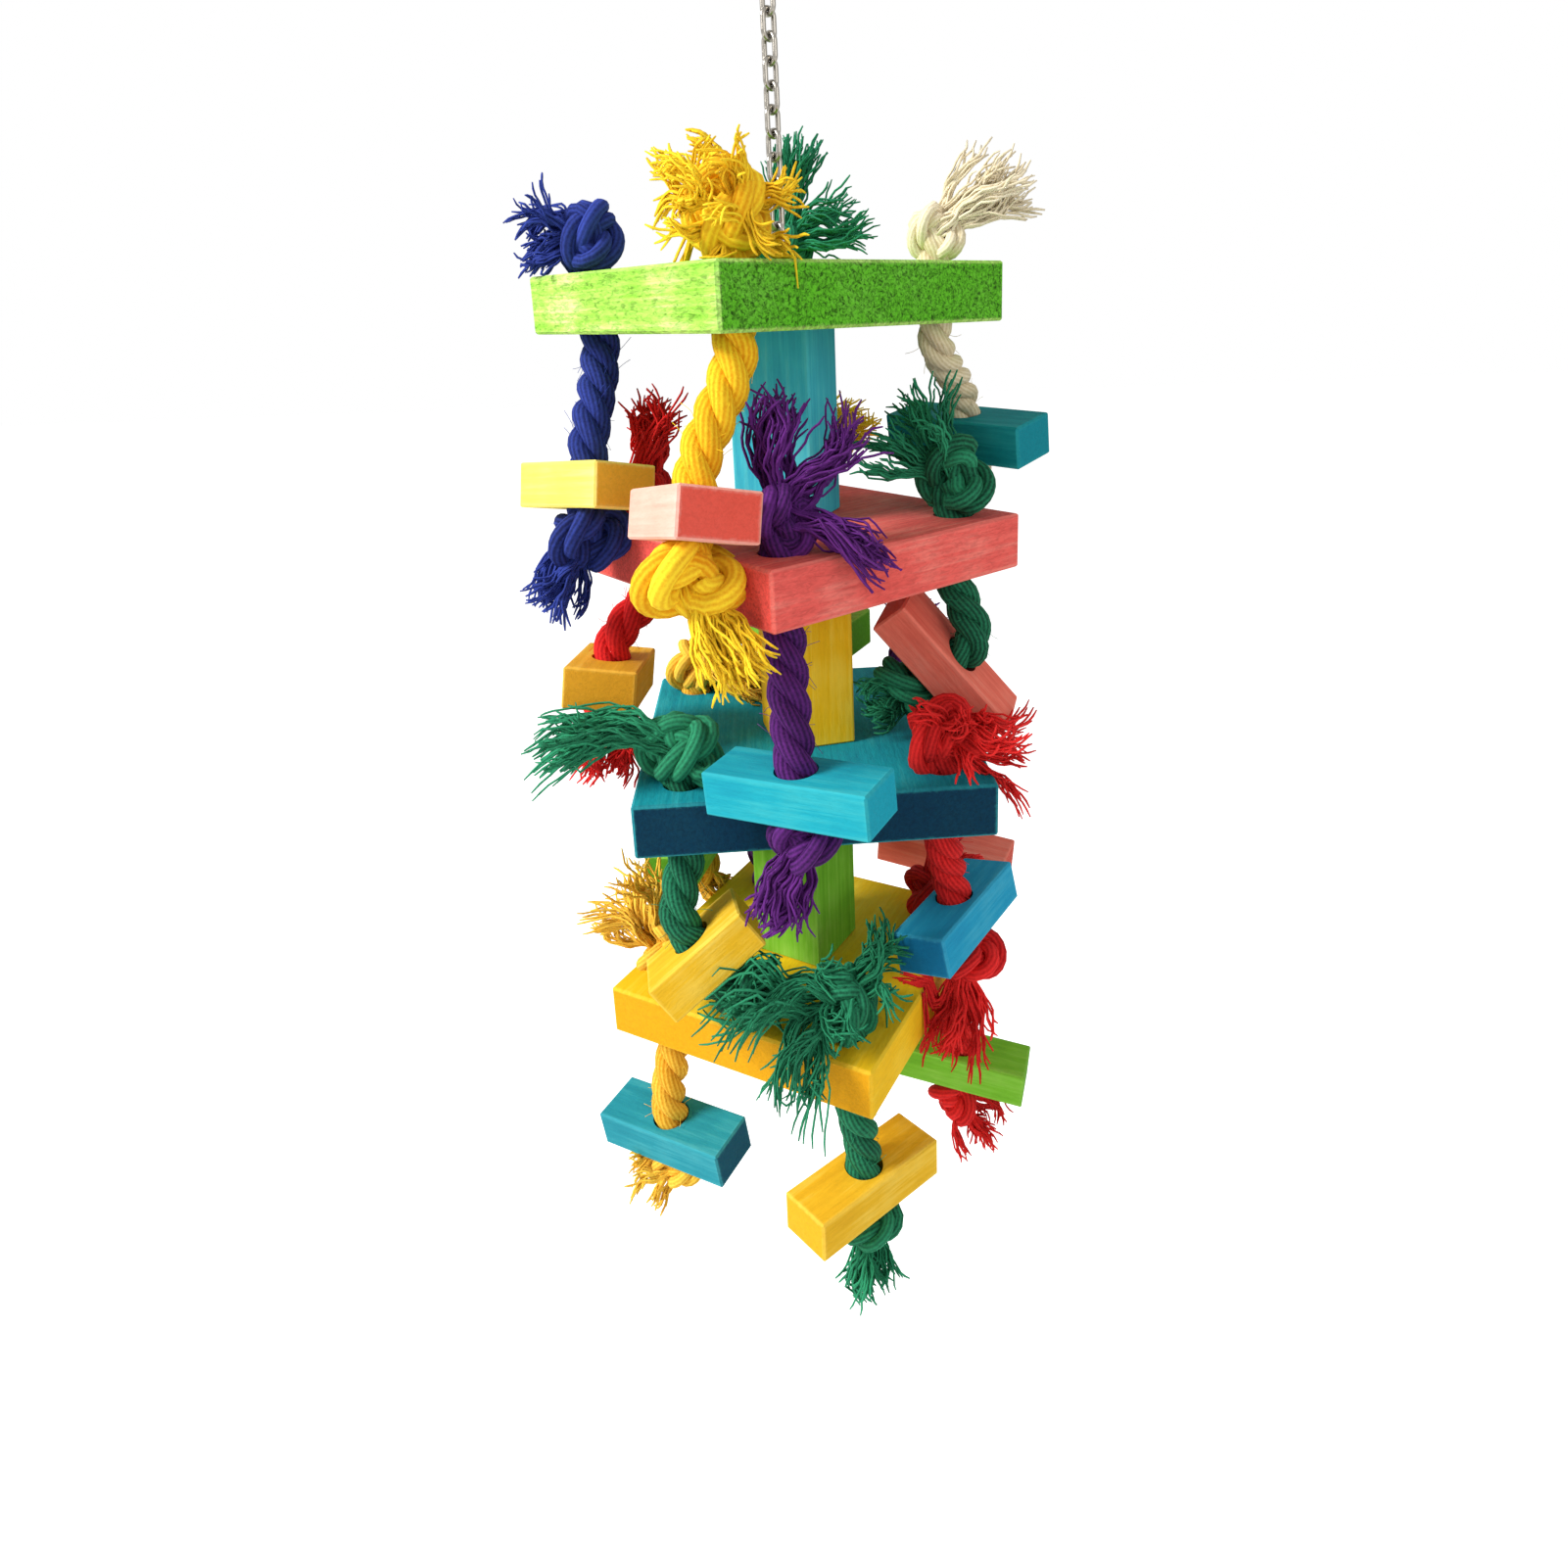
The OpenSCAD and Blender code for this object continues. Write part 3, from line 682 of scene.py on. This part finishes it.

# %% [markdown]
# ## The ropes
#
# Each rope is one piece and its two knots with their frays are another, which goes
# with it. The rope's line starts inside the top knot and ends inside the lower one.

# %% Knots and frays of one rope
def knots_and_frays(number, name, line, diameter):
    """One object with both knots of a rope, their frays and the rope's loose fibres."""
    _, _, _, _, (top_size, low_size), top_frays, low_frays = ROPES[name]
    _, _, turn = rope_places(name)
    start, end = line[0] / MM, line[-1] / MM
    upside_down = turn @ np.diag([1.0, -1.0, -1.0])
    bundles = [
        placed_knot(start, np.eye(3), top_size, top_size * TOP_KNOT_H, 50 * number),
        placed_knot(end, upside_down, low_size, low_size * LOW_KNOT_H, 35 + 70 * number),
    ]
    tones = [rng.uniform(0, 1, 3), rng.uniform(0, 1, 3)]
    for centre, frays in ((start, top_frays), (end, low_frays)):
        locks = LOCKS_OF[len(frays)]
        for fray in frays:
            bundles.append(fray_bundle(centre, fray, locks))
            tones.append(lock_tones(locks))
    bundles.append(fuzz_bundle(line, diameter))
    tones.append(rng.uniform(0.4, 1, FUZZ_HAIRS))
    return mesh_piece(f"rope_{name}_knots_and_frays", bundles, tones)


print("frays in all:", sum(len(row[5]) + len(row[6]) for row in ROPES.values()))

# %% Build every rope
# Length of one turn of the strands, in diameters of the rope
ROPE_LAY = 2.35

rope_pieces, end_pieces = {}, {}
for number, (name, (cotton, *_)) in enumerate(ROPES.items()):
    line = rope_lines[name]
    diameter = (CREAM_ROPE_D if cotton == "cream" else ROPE_D) * MM
    laid = strands(line, diameter, ROPE_LAY * diameter, start_angle=number)
    # The laid rope takes only the darker tones of its cotton, as painted shade where it hangs under the
    # boards
    rope = mesh_piece(f"rope_{name}_laid", [laid], [rng.uniform(0, 0.45, 3)])
    ends = knots_and_frays(number, name, line, diameter)
    rope_pieces[name], end_pieces[name] = rope, ends
    for piece in (rope, ends):
        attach(piece, "root")
        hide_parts(f"rope_{name}")
print("triangles in ropes:", sum(
    2 * len(p.data.polygons) for p in [*rope_pieces.values(), *end_pieces.values()]
))

# %% [markdown]
# ## Materials
#
# Colours are written as sRGB hex values, which one function turns to linear light. One
# small function adds a shader node with its settings and links.

# %% Colours and nodes
def linear(hex_colour):
    """An sRGB hex colour as linear red, green, blue and alpha."""
    parts = [int(hex_colour[k:k + 2], 16) / 255 for k in (1, 3, 5)]
    return [c / 12.92 if c <= 0.04045 else ((c + 0.055) / 1.055) ** 2.4 for c in parts] + [1.0]


def add(tree, kind, inputs=None, **settings):
    """Adds a node. inputs gives sockets a value, or a link from another node's socket."""
    made = tree.nodes.new(kind)
    for key, value in settings.items():
        setattr(made, key, value)
    for key, value in (inputs or {}).items():
        if isinstance(value, bpy.types.NodeSocket):
            tree.links.new(value, made.inputs[key])
        else:
            made.inputs[key].default_value = value
    return made


print("middle grey in linear light:", round(linear("#808080")[0], 3))

# %% Materials and pieces
def new_material(name):
    """An empty material and its node tree."""
    material = bpy.data.materials.new(name)
    material.use_nodes = True
    material.node_tree.nodes.clear()
    return material, material.node_tree


def finish_material(tree, shader):
    """Leads a shader to the material's surface."""
    add(tree, "ShaderNodeOutputMaterial", {"Surface": shader.outputs[0]})


def dress(node, material):
    """Gives a construction piece its material."""
    piece = NODES[node]
    for slot in piece.material_slots:
        slot.material = material
    if not piece.material_slots:
        piece.data.materials.append(material)


print("pieces to dress:", len(NODES) - len(ROPES))

# %% [markdown]
# ## Dyed softwood
#
# The boards are sawn pine, dipped in food dye and left unvarnished. The dye goes deep
# into the soft early wood and less into the hard late wood, so the grain shows as
# streaks of a lighter and a darker tone. End grain drinks the most and dries in a tone
# of its own, on most pieces a darker one.
# The saw leaves the boards speckled, while the small blocks are sanded smooth, and the
# dye rubs off their edges. Each piece has its own grain direction, so each gets its own
# copy of the material with the pattern centred and turned on it.

# %% Dyes
# Dark, middle and light tone of each dye along the grain, and its tone on end grain
DYES = {
    "green": ("#7CBE34", "#A4D858", "#D6F092", "#4CA41A"),
    "red": ("#CE4440", "#E6625A", "#F39A8A", "#DC5048"),
    "blue": ("#0E6E84", "#158C98", "#3CAAAE", "#001A3A"),
    "yellow": ("#DEA40E", "#F0C01C", "#FADC50", "#DC9A10"),
    "gold": ("#CE9818", "#E6B426", "#F8DA66", "#DCA41C"),
    "lemon": ("#EECB44", "#F8E264", "#FDF095", "#F0B030"),
    "turquoise": ("#12829C", "#1C9CAC", "#46B6B8", "#169CB2"),
    "sky": ("#2C9EBE", "#40BCD0", "#6AD4D6", "#2096B8"),
    "azure": ("#1880AC", "#2298BE", "#50B4CC", "#0C648E"),
    "sea": ("#1A7484", "#258A98", "#4FACB4", "#064560"),
    "teal": ("#02686F", "#0A7C82", "#2FA0A0", "#0C7E8C"),
    "amber": ("#C08A1E", "#DDA62A", "#EFC45A", "#CC9020"),
    "pink": ("#E09482", "#EBAE9C", "#F2C6B8", "#E04A3A"),
    "salmon": ("#D05444", "#EA7460", "#F49C88", "#C04838"),
    "leaf": ("#56981A", "#76BC30", "#9CD45A", "#4C8C1A"),
    "crimson": ("#A02024", "#C23034", "#DB5A55", "#92181C"),
}
print("dyes:", len(DYES))

# %% [markdown]
# ### Grain
#
# Pine shows long, thin streaks. They are noise that is squeezed across the grain and
# drawn out along it, in millimetres on axes of the piece's own. A slower noise shifts
# the tone in blotches, as dye does when a piece is dipped.

# %% Grain and blotches
GRAIN_LENGTH = 38
GRAIN_WIDTH = 1.5
BLOTCH_SIZE = 22
# Half of the range of noise that goes from the dark tone to the light one
TONE_RANGE = 0.3


def on_piece(tree, middle, rotation):
    """Millimetres on the piece's own axes, from its middle."""
    place = add(tree, "ShaderNodeTexCoord").outputs["Object"]
    return add(tree, "ShaderNodeMapping", {
        "Vector": place, "Location": middle, "Rotation": [math.radians(a) for a in rotation],
        "Scale": (MM, MM, MM),
    }, vector_type="TEXTURE").outputs[0]


def drawn_out(tree, own, length, width, **noise):
    """Noise whose spots are drawn out along the grain. Sizes are in millimetres."""
    stretched = add(tree, "ShaderNodeMapping", {
        "Vector": own, "Scale": (1 / length, 1 / width, 1 / width),
    }).outputs[0]
    return add(tree, "ShaderNodeTexNoise", {"Vector": stretched, "Scale": 1.0, **noise}).outputs[0]


def grain_colour(tree, own, grain, dye, streaks):
    """Streaks along the grain, on slow blotches of dye."""
    dark, mid, light, _ = DYES[dye]
    blotch = add(tree, "ShaderNodeTexNoise", {
        "Vector": own, "Scale": 1 / BLOTCH_SIZE, "Detail": 2.0,
    }).outputs[0]
    mixed = add(tree, "ShaderNodeMath", {0: grain, 1: blotch}, operation="ADD").outputs[0]
    reach = TONE_RANGE / streaks
    tone = add(tree, "ShaderNodeMapRange", {
        "Value": mixed, "From Min": 1 - reach, "From Max": 1 + reach,
    }).outputs[0]
    ramp = add(tree, "ShaderNodeValToRGB", {"Fac": tone})
    ramp.color_ramp.elements[0].color = linear(dark)
    ramp.color_ramp.elements[1].color = linear(light)
    ramp.color_ramp.elements.new(0.5).color = linear(mid)
    return ramp.outputs["Color"]


print("streaks are", GRAIN_LENGTH, "mm long and", GRAIN_WIDTH, "mm wide")

# %% [markdown]
# ### End grain and saw marks
#
# A surface is end grain where it faces along the grain, so the share of end grain comes
# from the angle between the two and needs no mask. The saw leaves specks, drawn out
# along the grain and round on the ends. Single torn fibres are too fine to show, so
# each speck stands for a tuft of them.

# %% End grain and specks
SPECK_LENGTH = 3
SPECK_WIDTH = 0.85
# Where end grain starts and is full, by the cosine of the angle, and how strong it is
END_STARTS = 0.55
END_FULL = 0.85
END_STRENGTH = 0.92
# Strength of the specks on the long faces, where it is nearly 1 on end grain
SPECKS_ALONG = 0.6


def end_grain_share(tree, rotation):
    """How much of a surface's colour is that of end grain."""
    axis = turned(rotation) @ np.array([1.0, 0, 0])
    facing = add(tree, "ShaderNodeVectorMath", {
        0: add(tree, "ShaderNodeNewGeometry").outputs["Normal"], 1: axis,
    }, operation="DOT_PRODUCT").outputs["Value"]
    cut_across = add(tree, "ShaderNodeMath", {0: facing}, operation="ABSOLUTE").outputs[0]
    return add(tree, "ShaderNodeMapRange", {
        "Value": cut_across, "From Min": END_STARTS, "From Max": END_FULL, "To Max": END_STRENGTH,
    }).outputs[0]


def saw_specks(tree, colour, speckle, end_share, specks):
    """The colour with dark specks from the saw."""
    value = add(tree, "ShaderNodeMapRange", {
        "Value": speckle, "From Min": 0.32, "From Max": 0.6,
        "To Min": 1 - specks, "To Max": 1 + specks / 3,
    }).outputs[0]
    share = add(tree, "ShaderNodeMapRange", {
        "Value": end_share, "To Min": SPECKS_ALONG, "To Max": 1.0,
    }).outputs[0]
    return add(tree, "ShaderNodeHueSaturation", {
        "Color": colour, "Value": value, "Fac": share,
    }).outputs[0]


print("specks are", SPECK_LENGTH, "mm long and", SPECK_WIDTH, "mm wide")

# %% [markdown]
# ### Rubbed edges
#
# Dye rubs off where pieces knock together, which is along their edges. Of the three
# distances from a point to the faces, the middle one is the distance to the nearest
# edge. The grain makes the rubbed line ragged.

# %% Edges
# Half the width over which the rubbed tone fades and how far the grain moves it, both
# in millimetres, then the share of the light tone where it is rubbed most
RUBBED_FADE = 0.5
RAGGED_BY = 1.6
RUBBED_LIGHT = 0.3


def rubbed_share(tree, own, grain, size):
    """How much of the light tone shows at the edges of a piece of that size."""
    from_middle = add(tree, "ShaderNodeVectorMath", {0: own}, operation="ABSOLUTE").outputs[0]
    to_face = add(tree, "ShaderNodeVectorMath", {
        0: np.array(size) / 2, 1: from_middle,
    }, operation="SUBTRACT").outputs[0]
    x, y, z = add(tree, "ShaderNodeSeparateXYZ", {0: to_face}).outputs
    pairs = [
        add(tree, "ShaderNodeMath", {0: p, 1: q}, operation="MAXIMUM").outputs[0]
        for p, q in ((x, y), (y, z), (z, x))
    ]
    edge = pairs[0]
    for pair in pairs[1:]:
        edge = add(tree, "ShaderNodeMath", {0: edge, 1: pair}, operation="MINIMUM").outputs[0]
    ragged = add(tree, "ShaderNodeMath", {
        0: grain, 1: -RAGGED_BY, 2: edge,
    }, operation="MULTIPLY_ADD").outputs[0]
    return add(tree, "ShaderNodeMapRange", {
        "Value": ragged, "From Min": -RUBBED_FADE, "From Max": RUBBED_FADE,
        "To Min": RUBBED_LIGHT, "To Max": 0.0,
    }).outputs[0]


print("rubbed tone ends about", round(RUBBED_FADE + RAGGED_BY / 2, 1), "mm from an edge")

# %% Dyed wood
def dyed_wood(name, dye, node, middle, rotation, size, specks, streaks):
    """Wood with its grain along the piece's own X axis. middle is in metres.

    specks and streaks are how strongly the saw marks and the grain show.
    """
    _, _, light, end = DYES[dye]
    material, tree = new_material(name)
    own = on_piece(tree, middle, rotation)
    grain = drawn_out(
        tree, own, GRAIN_LENGTH, GRAIN_WIDTH, Detail=4.0, Roughness=0.6, Distortion=0.5,
    )
    speckle = drawn_out(
        tree, own, SPECK_LENGTH, SPECK_WIDTH, Detail=2.0, Roughness=0.65, Distortion=0.8,
    )
    end_share = end_grain_share(tree, rotation)
    dyed = add(tree, "ShaderNodeMix", {
        "Factor": end_share, "A": grain_colour(tree, own, grain, dye, streaks), "B": linear(end),
    }, data_type="RGBA").outputs["Result"]
    sawn = saw_specks(tree, dyed, speckle, end_share, specks)
    worn = add(tree, "ShaderNodeMix", {
        "Factor": rubbed_share(tree, own, grain, size), "A": sawn, "B": linear(light),
    }, data_type="RGBA").outputs["Result"]
    height = add(tree, "ShaderNodeMath", {0: grain, 1: speckle}, operation="ADD").outputs[0]
    bump = add(tree, "ShaderNodeBump", {
        "Height": height, "Strength": 0.3 + specks, "Distance": 0.3 * MM,
    }).outputs[0]
    # Bare dyed wood is matt, with hardly any shine
    shader = add(tree, "ShaderNodeBsdfPrincipled", {
        "Base Color": worn, "Roughness": 0.75, "Normal": bump, "Specular IOR Level": 0.1,
    })
    finish_material(tree, shader)
    dress(node, material)


print("a wooden piece takes a material of its own")

# %% [markdown]
# ### Dressing the wood
#
# The boards are rough from the saw and differ from each other, so each has its own
# row. The spacers stand upright, so their grain is turned to run up. The blocks are
# sanded alike and take the turn that their rope gives them.

# %% Boards
# Dye of each board, the turn of its grain from the board's own X axis, streaks and specks
BOARD_DYES = {
    "green_board": ("green", 90, 1, 0.85), "red_board": ("red", 0, 0.5, 0.3),
    "blue_board": ("blue", 0, 0.5, 0.25), "yellow_board": ("yellow", 0, 0.4, 0.12),
}
for tier, (node, side, turn, _) in enumerate(BOARDS):
    dye, grain_turn, streaks, specks = BOARD_DYES[node]
    dyed_wood(
        f"dyed_pine_{node}", dye, node, board_place(tier) * MM, (0, 0, turn + grain_turn),
        (side, side, BOARD_T), specks, streaks,
    )
print("boards dressed:", len(BOARDS))

# %% Spacers
SPACER_SPECKS = 0.06
SPACER_STREAKS = 0.7
SPACER_DYES = {"top_spacer": "sky", "middle_spacer": "yellow", "low_spacer": "leaf"}
for node, dye in SPACER_DYES.items():
    low, high = np.array(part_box(node))
    size = ((high[2] - low[2]) / MM, SPACER_W, SPACER_W)
    dyed_wood(
        f"dyed_pine_{node}", dye, node, (low + high) / 2, (0, 90, SPACER_TURNS[node]), size,
        SPACER_SPECKS, SPACER_STREAKS,
    )
print("spacers dressed:", len(SPACER_DYES))

# %% Blocks
BLOCK_SPECKS = 0.1
BLOCK_STREAKS = 0.5
BLOCK_DYES = {
    "1_left": "lemon", "1_front": "pink", "1_right": "teal", "1_back": "teal",
    "2_left": "amber", "2_front": "turquoise", "2_right": "salmon", "2_back": "leaf",
    "3_left": "gold", "3_front": "azure", "3_right": "salmon", "3_back": "leaf",
    "4_left": "sea", "4_front": "gold", "4_right": "leaf", "4_back": "crimson",
}
for name, dye in BLOCK_DYES.items():
    _, block, _ = rope_places(name)
    dyed_wood(
        f"dyed_pine_block_{name}", dye, f"block_{name}", block * MM, ROPES[name][3], ROPES[name][1],
        BLOCK_SPECKS, BLOCK_STREAKS,
    )
print("blocks dressed:", len(BLOCK_DYES))

# %% [markdown]
# ## Cotton
#
# Cotton rope is matt and soft. Its fibres stand off the surface and catch light at the
# edges, which the shader's sheen gives. The yarns are drawn as fine slanting ridges
# that follow the UV map, both in the bump and as painted shade that darkens the grooves
# between them. Each tube has its own tone of the dye, and the laid rope takes only the
# darker tones, as painted shade where it hangs under the boards.

# %% Dyed cotton
# Size of the fluff in millimetres, drawn coarser than single fibres so that it shows
FLUFF_SIZE = 0.8
# What ridges and tones add to the fluff, and between which sums the dye gets lighter.
# The ridges darken the grooves between the yarns as painted shade, and give the bump
RIDGE_RELIEF_AND_SHADE = 0.22
TONE_SHARE = 0.45
DARK_BELOW = 0.3
LIGHT_ABOVE = 1.15

# Dark and light tone of each cotton. The dark one also shows as the painted shade in the grooves and on the
# laid ropes
COTTON = {
    "blue": ("#101848", "#32449C"),
    "yellow": ("#DC940A", "#FFDC30"),
    "cream": ("#C6B48C", "#F0E4C8"),
    "green": ("#083A28", "#2C8E64"),
    "red": ("#A00A0E", "#F02E2C"),
    "purple": ("#260838", "#66287E"),
    "amber": ("#C88814", "#FFD04C"),
}


def cotton_rope(name, dark, light):
    """Cotton between a dark and a light tone of its dye."""
    material, tree = new_material(name)
    uv = add(tree, "ShaderNodeUVMap", uv_map="fibre").outputs[0]
    round_it = add(tree, "ShaderNodeSeparateXYZ", {0: uv}).outputs["Y"]
    angle = add(tree, "ShaderNodeMath", {0: round_it, 1: 2 * math.pi}, operation="MULTIPLY").outputs[0]
    ridge = add(tree, "ShaderNodeMath", {0: angle}, operation="COSINE").outputs[0]
    place = add(tree, "ShaderNodeTexCoord").outputs["Object"]
    fuzz = add(tree, "ShaderNodeTexNoise", {
        "Vector": place, "Scale": 1 / (FLUFF_SIZE * MM), "Detail": 3.0, "Roughness": 0.7,
    }).outputs[0]
    tone = add(tree, "ShaderNodeAttribute", attribute_name="tone").outputs["Fac"]
    height = add(tree, "ShaderNodeMath", {
        0: ridge, 1: RIDGE_RELIEF_AND_SHADE, 2: fuzz,
    }, operation="MULTIPLY_ADD").outputs[0]
    mixed = add(tree, "ShaderNodeMath", {
        0: tone, 1: TONE_SHARE, 2: height,
    }, operation="MULTIPLY_ADD").outputs[0]
    shade = add(tree, "ShaderNodeMapRange", {
        "Value": mixed, "From Min": DARK_BELOW, "From Max": LIGHT_ABOVE,
    }).outputs[0]
    # Through the ridges in this sum, the grooves between yarns get painted shade
    ramp = add(tree, "ShaderNodeValToRGB", {"Fac": shade})
    ramp.color_ramp.elements[0].color = linear(dark)
    ramp.color_ramp.elements[1].color = linear(light)
    bump = add(tree, "ShaderNodeBump", {
        "Height": height, "Strength": 0.6, "Distance": 0.3 * MM,
    }).outputs[0]
    shader = add(tree, "ShaderNodeBsdfPrincipled", {
        "Base Color": ramp.outputs["Color"], "Roughness": 0.9, "Normal": bump,
        "Specular IOR Level": 0.2, "Sheen Weight": 0.3, "Sheen Roughness": 0.5,
        "Sheen Tint": linear(light),
    })
    finish_material(tree, shader)
    return material


cottons = {name: cotton_rope(f"cotton_{name}", *tones) for name, tones in COTTON.items()}
for name in ROPES:
    for piece in (rope_pieces[name], end_pieces[name]):
        piece.data.materials.append(cottons[ROPES[name][0]])
print("cottons:", len(cottons))

# %% [markdown]
# ## Nickel-plated steel
#
# The chain, the two rings and the washer are steel wire and plate with bright nickel
# on them. Nickel is a little warmer than chrome, and tumbling leaves it slightly
# clouded, so the roughness wanders. Its colour is drawn darker than bare nickel, as
# painted shade for the darker surroundings that the links mirror.

# %% Nickel
# Size of the clouds in millimetres, and the roughness where it is bright and clouded
CLOUD_SIZE = 2.5
BRIGHT = 0.16
CLOUDED = 0.34
METAL_PIECES = ("hanging_ring", "chain", "bottom_washer", "bottom_ring")


def nickel_plate(name):
    """Bright nickel with a roughness that wanders."""
    material, tree = new_material(name)
    place = add(tree, "ShaderNodeTexCoord").outputs["Object"]
    cloud = add(tree, "ShaderNodeTexNoise", {
        "Vector": place, "Scale": 1 / (CLOUD_SIZE * MM), "Detail": 3.0,
    }).outputs[0]
    rough = add(tree, "ShaderNodeMapRange", {
        "Value": cloud, "From Min": 0.3, "From Max": 0.7, "To Min": BRIGHT, "To Max": CLOUDED,
    }).outputs[0]
    # The base colour is darker than bare nickel: painted shade for the darker surroundings the links mirror
    shader = add(tree, "ShaderNodeBsdfPrincipled", {
        "Base Color": linear("#9C978E"), "Metallic": 1.0, "Roughness": rough,
    })
    finish_material(tree, shader)
    return material


nickel = nickel_plate("nickel_plated_steel")
for node in METAL_PIECES:
    dress(node, nickel)
print("metal pieces dressed:", len(METAL_PIECES))

# %% [markdown]
# ## Floor and light
#
# The toy hangs over a pale floor in a white studio. A large lamp stands to the left of
# the camera, as in the photograph, where the left sides of the blocks are the bright
# ones. A weaker one fills the right, and the white room does the rest. The room and
# the floor are at full white only for rays from the camera and for those that metal
# sends on, so the background is white without more light on the toy.

# %% Rays that see the background
def background_rays(tree):
    """1 for rays from the camera and for those that metal or glass sends on, else 0."""
    rays = add(tree, "ShaderNodeLightPath").outputs
    seen_or_mirrored = add(tree, "ShaderNodeMath", {
        0: rays["Is Camera Ray"], 1: rays["Is Glossy Ray"],
    }, operation="ADD").outputs[0]
    return add(tree, "ShaderNodeMath", {
        0: seen_or_mirrored, 1: rays["Is Transmission Ray"],
    }, operation="ADD", use_clamp=True).outputs[0]


print("background is seen by camera, glossy and transmission rays")

# %% Floor
FLOOR_DROP = 0.30
FLOOR_SIDE = 14
FLOOR_GLOW = 0.62
WHITE = (1, 1, 1, 1)
FLOOR_Z = cad_bounds[0][2] - FLOOR_DROP

bpy.ops.object.select_all(action="DESELECT")
bpy.ops.mesh.primitive_plane_add(size=FLOOR_SIDE, location=(0, 0, FLOOR_Z))
floor = bpy.context.object
floor.name = "floor"
bpy.ops.object.transform_apply(location=True)

floor_material, tree = new_material("pale_floor")
plain = add(tree, "ShaderNodeBsdfDiffuse", {"Color": linear("#F4F4F2")})
glow = add(tree, "ShaderNodeEmission", {"Color": WHITE, "Strength": FLOOR_GLOW})
both = add(tree, "ShaderNodeAddShader", {0: plain.outputs[0], 1: glow.outputs[0]})
seen = add(tree, "ShaderNodeMixShader", {
    0: background_rays(tree), 1: plain.outputs[0], 2: both.outputs[0],
})
finish_material(tree, seen)
floor.data.materials.append(floor_material)
floor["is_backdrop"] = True
print("floor at", round(FLOOR_Z, 3), "m")

# %% White room
ROOM_LIGHT = 0.55

world = bpy.data.worlds.new("white_room")
bpy.context.scene.world = world
world.use_nodes = True
tree = world.node_tree
tree.nodes.clear()
strength = add(tree, "ShaderNodeMapRange", {
    "Value": background_rays(tree), "To Min": ROOM_LIGHT, "To Max": 1.0,
}).outputs[0]
room = add(tree, "ShaderNodeBackground", {"Color": WHITE, "Strength": strength})
add(tree, "ShaderNodeOutputWorld", {"Surface": room.outputs[0]})
print("room lights the toy at", ROOM_LIGHT)

# %% Lamps
def lamp(name, place, size, power):
    """A square area lamp that looks at the middle of the toy."""
    bpy.ops.object.light_add(type="AREA", location=place)
    made = bpy.context.object
    made.name = name
    made.data.size = size
    made.data.energy = power
    aim = Vector((0, 0, (cad_bounds[0][2] + cad_bounds[1][2]) / 2)) - Vector(place)
    made.rotation_euler = aim.to_track_quat("-Z", "Y").to_euler()
    print(name, "is", round(aim.length, 2), "m from the toy")


lamp("key_lamp", (-1.2, -0.45, 0.7), 0.5, 32)
lamp("fill_lamp", (0.7, -1.2, 0.2), 0.8, 5)

bpy.context.scene.view_settings.view_transform = "Standard"

# %% [markdown]
# ## The two boxes
#
# The box of the construction and that of the visual model, whose soft ends may reach
# a little further, are printed side by side. The visual model must stay inside the
# construction's box, apart from a little for the soft ends.

# %% Sizes and finish
visual_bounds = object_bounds()
for label, corners in (("cad", cad_bounds), ("visual", visual_bounds)):
    print(label, [[round(c, 4) for c in corner] for corner in corners])
